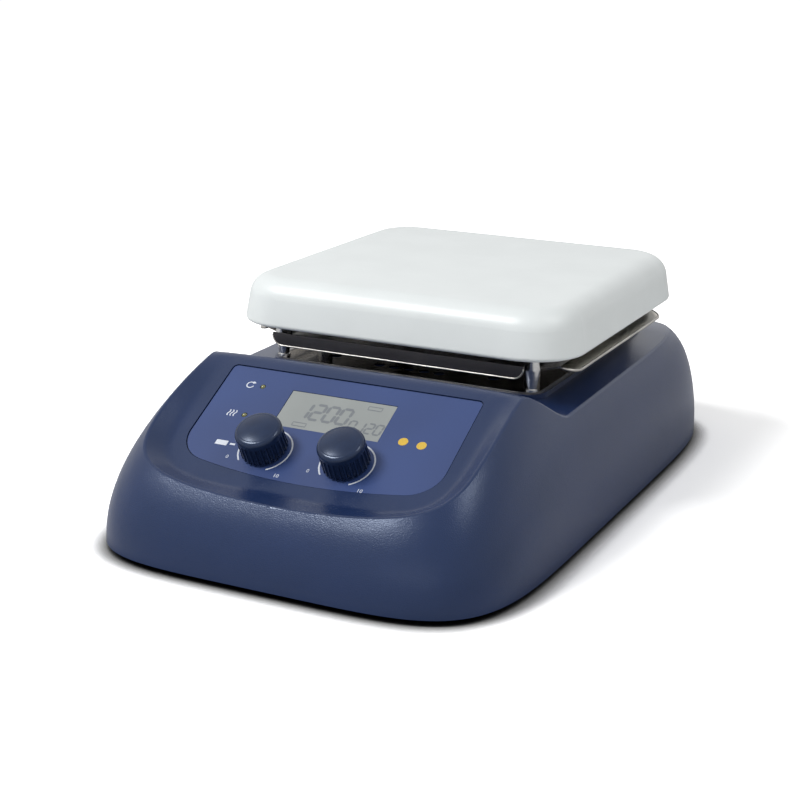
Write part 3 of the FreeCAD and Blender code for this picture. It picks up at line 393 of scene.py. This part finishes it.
def fibre_mat(name, colour, fibre_mm=0.4):
    """Mineral or glass fibre: matt, with crossed strands."""
    made, tree = blank_material(name)
    one = grain(tree, object_space(tree, (0.1, 1.0, 1.0)), fibre_mm, 2.0)
    two = grain(tree, object_space(tree, (1.0, 0.1, 1.0)), fibre_mm, 2.0)
    strands = add(tree, "ShaderNodeMath", {"operation": "MAXIMUM"}, {0: one, 1: two}).outputs[0]
    finish_material(tree, {
        "Base Color": two_tones(tree, strands, shade(colour, 0.78), colour, 0.45, 0.7),
        "Roughness": 0.85,
        "Normal": relief(tree, strands, 0.1, 0.6)})
    return made


def circuit_laminate(name, colour):
    """Glass-epoxy board: green lacquer over faint woven glass.

    A wave texture draws about three bands for each 1 / Scale, so these are 0.6 mm apart."""
    made, tree = blank_material(name)
    space = object_space(tree)
    weave = add(tree, "ShaderNodeTexWave", {"wave_type": "BANDS"}, {
        "Vector": space, "Scale": 1.0 / (2.0 * MM), "Distortion": 0.5}).outputs["Fac"]
    finish_material(tree, {
        "Base Color": two_tones(tree, weave, shade(colour, 0.9), shade(colour, 1.1), 0.2, 0.8),
        "Roughness": 0.32,
        "IOR": 1.5,
        "Normal": relief(tree, weave, 0.01, 0.2)})
    return made


def display_pane(name, colour):
    """Unlit liquid crystal seen through its pane: grey-green film under clear gloss."""
    made, tree = blank_material(name)
    space = object_space(tree)
    fine = grain(tree, space, 0.5, 1.0)
    cloud = grain(tree, space, 25.0, 1.0)
    finish_material(tree, {
        "Base Color": two_tones(tree, cloud, shade(colour, 0.97), shade(colour, 1.03)),
        "Roughness": spread(tree, fine, 0.3, 0.36),
        "IOR": 1.5,
        "Coat Weight": 0.6,
        "Coat Roughness": 0.1})
    return made


def lamp_lens(name, colour):
    """Unlit indicator lens: tinted clear plastic with a dark heart."""
    made, tree = blank_material(name)
    fine = grain(tree, object_space(tree), 1.2, 2.0)
    finish_material(tree, {
        "Base Color": two_tones(tree, fine, shade(colour, 0.8), shade(colour, 1.15)),
        "Roughness": 0.22,
        "IOR": 1.49,
        "Coat Weight": 0.5})
    return made


def screen_ink(name, colour, rough=0.4):
    """Printed ink: flat colour with a slightly uneven film."""
    made, tree = blank_material(name)
    film = grain(tree, object_space(tree), 0.4, 2.0)
    finish_material(tree, {
        "Base Color": two_tones(tree, film, shade(colour, 0.94), shade(colour, 1.02)),
        "Roughness": spread(tree, film, rough, rough + 0.1),
        "IOR": 1.5})
    return made


def seen_directly(tree, path):
    """One where the camera, a mirror or a clear piece sees the surface, and nought elsewhere."""
    seen = path.outputs["Is Camera Ray"]
    for ray in ("Is Glossy Ray", "Is Transmission Ray"):
        seen = add(tree, "ShaderNodeMath", {"operation": "MAXIMUM"},
                   {0: seen, 1: path.outputs[ray]}).outputs[0]
    return seen


def seamless_paper(name, lift_near, lift_far, lift_mirrored=0.8, contact=0.011, contact_power=3.5):
    """Seamless paper: matt white that reads as plain white away from the object's shadow.

    Where it is seen directly its colour is lifted: for the camera from one level near the object
    to another far off, and by an even level in mirrors and clear pieces. It darkens to a thin
    line of shadow where the object meets it, by the share of open sky within the contact
    distance, raised to a power. Light that falls on it otherwise meets plain white paper."""
    near, far = 0.25, 0.8
    made, tree = blank_material(name)
    away = add(tree, "ShaderNodeVectorMath", {"operation": "LENGTH"},
               {0: add(tree, "ShaderNodeTexCoord").outputs["Object"]}).outputs["Value"]
    path = add(tree, "ShaderNodeLightPath")
    seen = add(tree, "ShaderNodeMapRange", inputs={
        "Value": away, "From Min": near, "From Max": far, "To Min": lift_near, "To Max": lift_far})
    lift = add(tree, "ShaderNodeMapRange", inputs={
        "Value": path.outputs["Is Camera Ray"],
        "To Min": lift_mirrored, "To Max": seen.outputs[0]})
    open_sky = add(tree, "ShaderNodeAmbientOcclusion", {"samples": 8}, {"Distance": contact})
    meeting = add(tree, "ShaderNodeMath", {"operation": "POWER"},
                  {0: open_sky.outputs["AO"], 1: contact_power})
    shown_lift = add(tree, "ShaderNodeMath", {"operation": "MULTIPLY"},
                     {0: lift.outputs[0], 1: meeting.outputs[0]})
    white = add(tree, "ShaderNodeCombineXYZ", inputs={i: shown_lift.outputs[0] for i in range(3)})
    shown = add(tree, "ShaderNodeBsdfDiffuse", inputs={"Color": white.outputs[0]})
    fibre = grain(tree, object_space(tree), 3.0, 2.0)
    colour = two_tones(tree, fibre, "#F4F4F4", "#F8F8F8")
    paper = add(tree, "ShaderNodeBsdfPrincipled", inputs={"Base Color": colour, "Roughness": 0.9})
    mixed = add(tree, "ShaderNodeMixShader", inputs={
        0: seen_directly(tree, path), 1: paper.outputs[0], 2: shown.outputs[0]})
    add(tree, "ShaderNodeOutputMaterial", inputs={"Surface": mixed.outputs[0]})
    return made


# Surfaces

def on_deck(x, s, h):
    """Places on the sloped panel, in metres: x to the right, s up the slope, h out of it.

    Each place is the deck's upper edge, moved by x across, by s along the slope's direction
    and by h along the direction square to it."""
    x, s, h = np.broadcast_arrays(np.asarray(x, float), np.asarray(s, float), np.asarray(h, float))
    y = DECK_EDGE.y + s * cos(DECK_TILT) - h * sin(DECK_TILT)
    z = DECK_EDGE.z + s * sin(DECK_TILT) + h * cos(DECK_TILT)
    return np.stack([x, y, z], axis=-1)


def tube_faces(rings, steps):
    """Quads of a tube, whose points are given ring after ring.

    Each quad joins a point, the next one round its ring, and the same two on the next ring.
    The last point of a ring is followed by its first."""
    ring, step = np.meshgrid(np.arange(rings - 1), np.arange(steps), indexing="ij")
    after = (step + 1) % steps
    here, there = ring * steps, (ring + 1) * steps
    quads = [here + step, here + after, there + after, there + step]
    return np.stack(quads, axis=-1).reshape(-1, 4)


def turn_outwards(mesh):
    """Turn the faces of a closed mesh outwards."""
    work = bmesh.new()
    work.from_mesh(mesh)
    bmesh.ops.recalc_face_normals(work, faces=work.faces)
    work.to_mesh(mesh)
    work.free()


def make_piece(name, sheets, material, smooth=True):
    """One object from several closed (points, faces) sheets, fixed to the instrument's body."""
    points, faces, start = [], [], 0
    for sheet_points, sheet_faces in sheets:
        points.append(sheet_points.reshape(-1, 3))
        faces.extend((np.asarray(f) + start).tolist() for f in sheet_faces)
        start += len(points[-1])
    mesh = bpy.data.meshes.new(name)
    mesh.from_pydata(np.concatenate(points).tolist(), [], faces)
    mesh.polygons.foreach_set("use_smooth", np.full(len(mesh.polygons), smooth))
    mesh.update()
    made = bpy.data.objects.new(name, mesh)
    bpy.context.scene.collection.objects.link(made)
    made.data.materials.append(material)
    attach(made, "instrument")
    turn_outwards(mesh)


def deck_stroke(x, s, width, low, high):
    """Flat printed stroke: a line on the panel given a width and a thickness.

    Each point of the line is moved to both sides along the line's normal by half the width,
    at two heights, which makes a closed four-sided tube with a face at each end."""
    x, s = np.asarray(x, float), np.asarray(s, float)
    width = np.broadcast_to(np.asarray(width, float), x.shape)
    dx, ds = np.gradient(x), np.gradient(s)
    length = np.hypot(dx, ds)
    nx, ns = -ds / length * width / 2, dx / length * width / 2
    sides = [(1, low), (1, high), (-1, high), (-1, low)]
    points = np.stack([on_deck(x + k * nx, s + k * ns, h) for k, h in sides], axis=1)
    n = len(x)
    faces = list(tube_faces(n, 4))
    faces.append([0, 1, 2, 3])
    faces.append([4 * n - 1, 4 * n - 2, 4 * n - 3, 4 * n - 4])
    return points, faces


def deck_disc(x, s, radius, low, high, steps=32):
    """Closed flat disc on the panel: the points at one radius from its middle, at two heights."""
    a = np.linspace(0, 2 * pi, steps, endpoint=False)
    u, v = np.cos(a) * radius, np.sin(a) * radius
    points = np.stack([on_deck(x + u, s + v, low), on_deck(x + u, s + v, high)])
    faces = list(tube_faces(2, steps))
    faces.append(np.arange(steps)[::-1])
    faces.append(np.arange(steps) + steps)
    return points, faces


def edge_bead(path, across, radius, steps=8):
    """Thin round bead along a line of points.

    Each point of the line is moved by the radius round a circle that is square to the line:
    one way in the direction given, the other way along the cross product of that direction
    with the line. This makes a closed tube with a face at each end."""
    path, across = np.asarray(path, float), np.asarray(across, float)
    along = np.gradient(path, axis=0)
    along /= np.linalg.norm(along, axis=1)[:, None]
    other = np.cross(along, across)
    other /= np.linalg.norm(other, axis=1)[:, None]
    a = np.linspace(0, 2 * pi, steps, endpoint=False)[None, :, None]
    points = path[:, None] + radius * (other[:, None] * np.cos(a) + across * np.sin(a))
    faces = list(tube_faces(len(path), steps))
    faces.append(np.arange(steps))
    faces.append(np.arange(steps)[::-1] + (len(path) - 1) * steps)
    return points, faces


def channel_edge(y, floor, steps=9):
    """Line along the cut edge of the tray's channel, at one y.

    It runs level along the floor. At each end it turns up through a quarter circle of the
    corner's radius, to the side wall at the channel's half width."""
    turn = np.linspace(0, pi / 2, steps)
    x = CHANNEL_HALF - CHANNEL_CORNER + CHANNEL_CORNER * np.sin(turn)
    z = floor + CHANNEL_CORNER - CHANNEL_CORNER * np.cos(turn)
    x, z = np.concatenate([-x[::-1], x]), np.concatenate([z[::-1], z])
    return np.stack([x, np.full_like(x, y), z], axis=-1)


def wing_hem(side, outer, floor, steps=9):
    """Line along the hem of a wing of the tray: side is -1 for the left one, 1 for the right.

    Seen from above it goes round the front corner on a quarter circle, straight back along the
    outer edge and round the rear corner. Its height grows evenly with the distance from the
    outer edge, as far as the ridge, and stays level from there."""
    turn = np.linspace(0.12, 1, steps) * pi / 2
    x = outer - WING_CORNER + WING_CORNER * np.sin(turn)
    y = WING_CORNER * (1 - np.cos(turn)) - WING_REACH
    x, y = np.concatenate([x, x[::-1]]), PLATE_Y + np.concatenate([y, -y[::-1]])
    z = floor + WING_EDGE_UP + RIDGE_UP * np.minimum((outer - x) / RIDGE_WIDTH, 1)
    return np.stack([side * x, y, z], axis=-1)


def segment_digit(digit, x, s, height, low, high, lean=0.12):
    """Seven-segment digit: each lit bar is a stroke that narrows towards both ends.

    A bar runs between two of the digit's six corners and stops a small gap before each. Every
    point leans to the right by a share of its height above the foot."""
    w, h = height * 0.52, height
    bar = height * 0.16
    gap = bar * 0.16
    ends = {
        "a": ((0, h), (w, h)), "b": ((w, h), (w, h / 2)), "c": ((w, h / 2), (w, 0)),
        "d": ((0, 0), (w, 0)), "e": ((0, h / 2), (0, 0)), "f": ((0, h), (0, h / 2)),
        "g": ((0, h / 2), (w, h / 2))}
    stops, taper = np.array([0.0, 0.14, 0.86, 1.0]), np.array([0.25, 1.0, 1.0, 0.25])
    sheets = []
    for key in SEGMENTS[digit]:
        (x0, s0), (x1, s1) = ends[key]
        reach = np.hypot(x1 - x0, s1 - s0)
        t = gap / reach + stops * (1 - 2 * gap / reach)
        px, ps = x0 + (x1 - x0) * t, s0 + (s1 - s0) * t
        sheets.append(deck_stroke(x + px + lean * ps, s + ps, taper * bar, low, high))
    return sheets


def display_box(x, s, half_x, half_s, low, high):
    """Outline of a small rectangle: one stroke round it, from the middle of its top and back."""
    px = x + half_x * np.array([0.0, 1, 1, 1, 0, -1, -1, -1, 0])
    ps = s + half_s * np.array([1.0, 1, 0, -1, -1, -1, 0, 1, 1])
    return deck_stroke(px, ps, half_s * 0.5, low, high)


def turning_sign(x, s, low, high, radius=1.9 * MM, line=0.6 * MM):
    """Round arrow: most of a circle, with a stroke at its start that narrows to a point."""
    turn = np.radians(np.linspace(60.0, 350.0, 28))
    back, tip, up, widths = 0.9 * MM, 2.4 * MM, 1.7 * MM, [1.9 * MM, 0.1 * MM]
    ring = deck_stroke(x + radius * np.cos(turn), s + radius * np.sin(turn), line, low, high)
    return [ring, deck_stroke([x + back, x + tip], [s + up, s + up], widths, low, high)]


def warmth_sign(x, s, low, high, pitch=1.7 * MM, swing=0.45 * MM, half=2.0 * MM, line=0.55 * MM):
    """Three upright waves side by side: each swings by one full sine over its height."""
    t = np.linspace(-1.0, 1.0, 16)
    return [deck_stroke(x + k * pitch + swing * np.sin(t * pi), s + half * t, line, low, high)
            for k in (-1, 0, 1)]


def small_number(name, text, x, s, size, lift, material):
    """Small printed number, from the built-in letter shapes.

    Its flat mesh is laid on the panel: across along x, up along s, its thickness along h."""
    curve = bpy.data.curves.new(name, "FONT")
    curve.body = text
    curve.size = size
    curve.align_x = "CENTER"
    curve.align_y = "CENTER"
    curve.extrude = lift / 2
    curve.resolution_u = 2
    temporary = bpy.data.objects.new(name + "_text", curve)
    bpy.context.scene.collection.objects.link(temporary)
    bpy.context.view_layer.update()
    mesh = bpy.data.meshes.new_from_object(temporary)
    bpy.data.objects.remove(temporary)
    bpy.data.curves.remove(curve)
    count = len(mesh.vertices)
    flat = np.zeros(count * 3)
    mesh.vertices.foreach_get("co", flat)
    flat = flat.reshape(-1, 3)
    placed = on_deck(x + flat[:, 0], s + flat[:, 1], PRINT_LEVEL + lift / 2 + flat[:, 2])
    mesh.vertices.foreach_set("co", placed.ravel())
    mesh.update()
    mesh.name = name
    mesh.materials.clear()
    mesh.materials.append(material)
    made = bpy.data.objects.new(name, mesh)
    bpy.context.scene.collection.objects.link(made)
    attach(made, "instrument")


def give(material, *nodes):
    """Put one material on CAD nodes, in place of their own."""
    for name in nodes:
        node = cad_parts[name]
        node.data.materials.clear()
        node.data.materials.append(material)


# Stage

def sky_light(scene, strength):
    """Even light all round, shown as plain white where the camera or a mirror sees it."""
    world = bpy.data.worlds.new("studio_air")
    scene.world = world
    world.use_nodes = True
    tree = world.node_tree
    tree.nodes.clear()
    path = add(tree, "ShaderNodeLightPath")
    light = add(tree, "ShaderNodeBackground", inputs={"Color": (1, 1, 1, 1), "Strength": strength})
    white = add(tree, "ShaderNodeBackground", inputs={"Color": (1, 1, 1, 1), "Strength": 1.0})
    mixed = add(tree, "ShaderNodeMixShader", inputs={
        0: seen_directly(tree, path), 1: light.outputs[0], 2: white.outputs[0]})
    add(tree, "ShaderNodeOutputWorld", inputs={"Surface": mixed.outputs[0]})


def lamp(name, place, target, width, height, power):
    """Softbox: a rectangular area lamp that faces the object."""
    data = bpy.data.lights.new(name, "AREA")
    data.shape = "RECTANGLE"
    data.size, data.size_y = width, height
    data.energy = power
    made = bpy.data.objects.new(name, data)
    bpy.context.scene.collection.objects.link(made)
    made.location = place
    made.rotation_mode = "QUATERNION"
    made.rotation_quaternion = (target - place).to_track_quat("-Z", "Y")
    return made


def camera_at(scene, stage, target):
    """Camera at the photograph's place, looking at the target with a small roll."""
    a, e = stage.azimuth, stage.elevation
    back = Vector((sin(a) * cos(e), -cos(a) * cos(e), sin(e)))
    right = Vector((cos(a), sin(a), 0.0))
    up = back.cross(right)
    right, up = (right * cos(stage.roll) + up * sin(stage.roll),
                 up * cos(stage.roll) - right * sin(stage.roll))
    data = bpy.data.cameras.new("camera")
    data.sensor_width = 36.0
    data.lens = stage.lens
    data.clip_start, data.clip_end = 0.02, 50.0
    made = bpy.data.objects.new("camera", data)
    scene.collection.objects.link(made)
    turn = Matrix((right, up, back)).transposed().to_4x4()
    made.matrix_world = Matrix.Translation(target + back * CAMERA_DISTANCE) @ turn
    scene.camera = made


# Operators

class STIRRER_OT_housing(bpy.types.Operator):
    """Coat the housing and the sheet parts of the base."""
    bl_idname = "stirrer.housing"
    bl_label = "Housing"

    def execute(self, context):
        colours = context.scene.stirrer_finish
        give(textured_coat("textured_powder_coat", colours.paint), "upper_housing")
        give(textured_coat("dark_powder_coat", "#2A2D33"),
             "base_plate", "rear_panel", "motor_bracket")
        give(moulded_rubber("moulded_rubber", "#1A1A1B"),
             "foot_front_left", "foot_front_right", "foot_rear_left", "foot_rear_right")
        give(bare_metal("zinc_plated_screws", "#B9B9B4"),
             "base_screws", "board_screws", "cover_screws", "tray_screws", "post_screws",
             "bracket_screws", "rear_screws")
        return {"FINISHED"}


class STIRRER_OT_panel(bpy.types.Operator):
    """Finish the sloped panel and print its arcs, marks and numbers."""
    bl_idname = "stirrer.panel"
    bl_label = "Panel print"

    def execute(self, context):
        size = context.scene.stirrer_print
        give(printed_film("printed_polycarbonate_film", context.scene.stirrer_finish.film),
             "panel_overlay")
        give(lamp_lens("unlit_lamp_lens", "#6B6A34"), "panel_lamps")
        ink = screen_ink("white_screen_ink", size.ink)
        low, high = PRINT_LEVEL, PRINT_LEVEL + size.lift
        turn = np.radians(np.linspace(*ARC_ENDS, 72))
        for dial, x in DIAL_X.items():
            arc_x = x + size.arc_radius * np.cos(turn)
            arc_s = DIAL_S + size.arc_radius * np.sin(turn)
            arc = deck_stroke(arc_x, arc_s, size.arc_width, low, high)
            make_piece("dial_arc_" + dial, [arc], ink, smooth=False)
            for end, (text, across, up) in NUMBERS.items():
                small_number("dial_%s_%s" % (end, dial), text, x + across, DIAL_S + up,
                             NUMBER_SIZE, size.lift, ink)
        bars = [deck_stroke([x0 * MM, x1 * MM], [DIAL_S, DIAL_S], width * MM, low, high)
                for x0, x1, width in MARKER_BARS]
        make_piece("dial_marker", bars, ink, smooth=False)
        signs = turning_sign(*TURNING_SIGN, low, high) + warmth_sign(*WARMTH_SIGN, low, high)
        make_piece("lamp_pictograms", signs, ink, smooth=False)
        dots = [deck_disc(x, s, DOT_RADIUS, low, high) for x, s in DOTS]
        make_piece("plain_dots", dots, screen_ink("yellow_screen_ink", size.dot),
                   smooth=False)
        return {"FINISHED"}


class STIRRER_OT_display(bpy.types.Operator):
    """Finish the display pane and lay its unlit digits on it."""
    bl_idname = "stirrer.display"
    bl_label = "Display"

    def execute(self, context):
        give(display_pane("display_pane", context.scene.stirrer_finish.screen), "display_glass")
        give(moulded_plastic("black_display_tray", "#141414"), "display_frame")
        grey = screen_ink("unlit_display_segments", "#70757A", 0.35)
        low, high = PANE_LEVEL, PANE_LEVEL + SEGMENT_LIFT
        sheets = []
        for text, first, pitch, s, height in DIGIT_ROWS:
            for i, digit in enumerate(text):
                x = (first + pitch * i) * MM
                sheets += segment_digit(digit, x, s * MM, height * MM, low, high)
        for x, s in BOXES:
            sheets.append(display_box(x * MM, s * MM, *BOX_HALF, low, high))
        make_piece("display_digits", sheets, grey, smooth=False)
        return {"FINISHED"}


class STIRRER_OT_dials(bpy.types.Operator):
    """Finish the two dials and their controls."""
    bl_idname = "stirrer.dials"
    bl_label = "Dials"

    def execute(self, context):
        give(polished_plastic("polished_dial_plastic", context.scene.stirrer_finish.dial),
             "heat_knob", "stir_knob")
        give(moulded_plastic("black_control_plastic", "#16171A"), "heat_control", "stir_control")
        give(turned_metal("turned_shaft_steel", "#B5B5B6"), "heat_shaft", "stir_shaft")
        return {"FINISHED"}


class STIRRER_OT_plate(bpy.types.Operator):
    """Finish the work plate, its heater and what lies under it."""
    bl_idname = "stirrer.plate"
    bl_label = "Work plate"

    def execute(self, context):
        give(vitreous_enamel("fired_white_enamel", context.scene.stirrer_finish.enamel),
             "work_plate")
        give(bare_metal("heater_sheath", "#8C867A"), "heating_element")
        give(fibre_mat("mineral_fibre_pad", "#D8D4C8", 0.6), "insulation_pad")
        give(rolled_steel("drawn_steel_cover", "#A9A9A9"), "element_cover")
        give(turned_metal("drawn_sensor_tube", "#B2B2B2"), "plate_sensor")
        give(fibre_mat("braided_glass_sleeve", "#CFC9BB", 0.5), "heater_leads")
        return {"FINISHED"}


class STIRRER_OT_tray(bpy.types.Operator):
    """Finish the heat tray, the polished sheet, the spacers and the posts."""
    bl_idname = "stirrer.tray"
    bl_label = "Tray and posts"

    def execute(self, context):
        # The tray's dark tone is painted shade, the shadow and dark reflection under the plate;
        # its light tone is bright steel
        give(shade_painted_steel("shade_painted_steel", "#5E5A57", "#D6D0C6"), "heat_tray")
        give(rolled_steel("spacer_steel", "#A9A9A9"), "tray_spacers")
        give(rolled_steel("mirror_polished_sheet", "#8F8C88", (0.04, 0.1), 0.3, 0.002),
             "shield_sheet")
        bright = rolled_steel("bright_cut_edge", "#B4B1AC", (0.24, 0.36))
        (_, front, floor), (outer, rear, _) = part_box("heat_tray")
        for name, y in (("tray_front_edge", front), ("tray_rear_edge", rear)):
            bead = edge_bead(channel_edge(y, floor), (0, 1, 0), EDGE_RADIUS)
            make_piece(name, [bead], bright)
        for name, side in (("tray_hem_left", -1), ("tray_hem_right", 1)):
            bead = edge_bead(wing_hem(side, outer, floor), (0, 0, 1), HEM_RADIUS)
            make_piece(name, [bead], bright)
        give(turned_metal("turned_post_steel", "#C8C8C8"),
             "post_front_left", "post_rear_left", "post_front_right", "post_rear_right",
             "rod_socket")
        return {"FINISHED"}


class STIRRER_OT_rear(bpy.types.Operator):
    """Finish the sockets, switch and fuse on the rear panel."""
    bl_idname = "stirrer.rear"
    bl_label = "Rear fittings"

    def execute(self, context):
        give(moulded_plastic("black_socket_plastic", "#17181A"),
             "mains_inlet", "switch_frame", "fuse_holder")
        give(polished_plastic("glossy_rocker_plastic", "#101113"), "power_rocker")
        give(bare_metal("nickel_plated_brass", "#C0B184"), "inlet_pins", "probe_socket")
        give(bare_metal("tin_plated_shell", "#B4B4B0"), "data_socket")
        return {"FINISHED"}


class STIRRER_OT_inside(bpy.types.Operator):
    """Finish the motor, the magnet drive and the electronics."""
    bl_idname = "stirrer.inside"
    bl_label = "Inside"

    def execute(self, context):
        give(bare_metal("zinc_plated_motor_can", "#8F9092"), "motor_can", "motor_cap")
        give(rolled_steel("stacked_lamination", "#77787A", (0.35, 0.5), 0.5, 0.05),
             "stator", "rotor_core")
        give(rolled_steel("plated_magnet_carrier", "#9B9C9E"), "magnet_bar")
        give(bare_metal("sintered_ferrite", "#2B2B2D", (0.5, 0.65)), "drive_magnets")
        give(turned_metal("ground_motor_shaft", "#BBBBBC"), "motor_shaft", "motor_bearings")
        give(circuit_laminate("circuit_laminate", "#1C5A34"), "control_board", "power_board")
        give(moulded_plastic("nylon_standoff", "#D8D6CC"), "board_standoffs")
        give(moulded_plastic("green_terminal_plastic", "#2E6B45"), "terminal_block")
        give(fibre_mat("varnished_winding", "#7A4A22", 0.8), "transformer")
        give(polished_plastic("capacitor_sleeve", "#232B4A"), "capacitors")
        return {"FINISHED"}


class STIRRER_OT_stage(bpy.types.Operator):
    """Make the floor, the lamps and the camera."""
    bl_idname = "stirrer.stage"
    bl_label = "Stage"

    def execute(self, context):
        scene = context.scene
        stage = scene.stirrer_stage
        flat = bpy.data.meshes.new("studio_floor")
        r = FLOOR_HALF
        flat.from_pydata([(-r, -r, 0), (r, -r, 0), (r, r, 0), (-r, r, 0)], [], [(0, 1, 2, 3)])
        flat.materials.append(
            seamless_paper("seamless_white_paper", stage.floor_near, stage.floor_far))
        floor = bpy.data.objects.new("studio_floor", flat)
        scene.collection.objects.link(floor)
        sky_light(scene, stage.sky)
        for name, place, width, height, share, lights_matt in SOFTBOXES:
            made = lamp(name, Vector(place), LOOK_AT, width, height, share * stage.key)
            made.visible_diffuse = lights_matt
        camera_at(scene, stage, LOOK_AT)
        scene.view_settings.view_transform = "Standard"
        return {"FINISHED"}


class STIRRER_PT_panel(bpy.types.Panel):
    """Sidebar list of the stirrer's pieces."""
    bl_idname = "STIRRER_PT_panel"
    bl_label = "Stirrer"
    bl_space_type = "VIEW_3D"
    bl_region_type = "UI"
    bl_category = "Stirrer"

    def draw(self, context):
        for step in STEPS:
            self.layout.operator(step.bl_idname)


GROUPS = {
    "stirrer_print": StirrerPrint, "stirrer_finish": StirrerFinish, "stirrer_stage": StirrerStage}
STEPS = (STIRRER_OT_housing, STIRRER_OT_panel, STIRRER_OT_display, STIRRER_OT_dials,
         STIRRER_OT_plate, STIRRER_OT_tray, STIRRER_OT_rear, STIRRER_OT_inside, STIRRER_OT_stage)


def register():
    """Register the groups of sizes and colours, the operators and the panel."""
    for group in GROUPS.values():
        bpy.utils.register_class(group)
    for name, group in GROUPS.items():
        setattr(bpy.types.Scene, name, bpy.props.PointerProperty(type=group))
    for step in STEPS:
        bpy.utils.register_class(step)
    bpy.utils.register_class(STIRRER_PT_panel)


def unregister():
    """Take out what register put in."""
    bpy.utils.unregister_class(STIRRER_PT_panel)
    for step in reversed(STEPS):
        bpy.utils.unregister_class(step)
    for name, group in GROUPS.items():
        delattr(bpy.types.Scene, name)
        bpy.utils.unregister_class(group)


def main():
    """Make everything in order."""
    register()
    for step in STEPS:
        area, name = step.bl_idname.split(".")
        getattr(getattr(bpy.ops, area), name)()


if __name__ == "__main__":
    main()
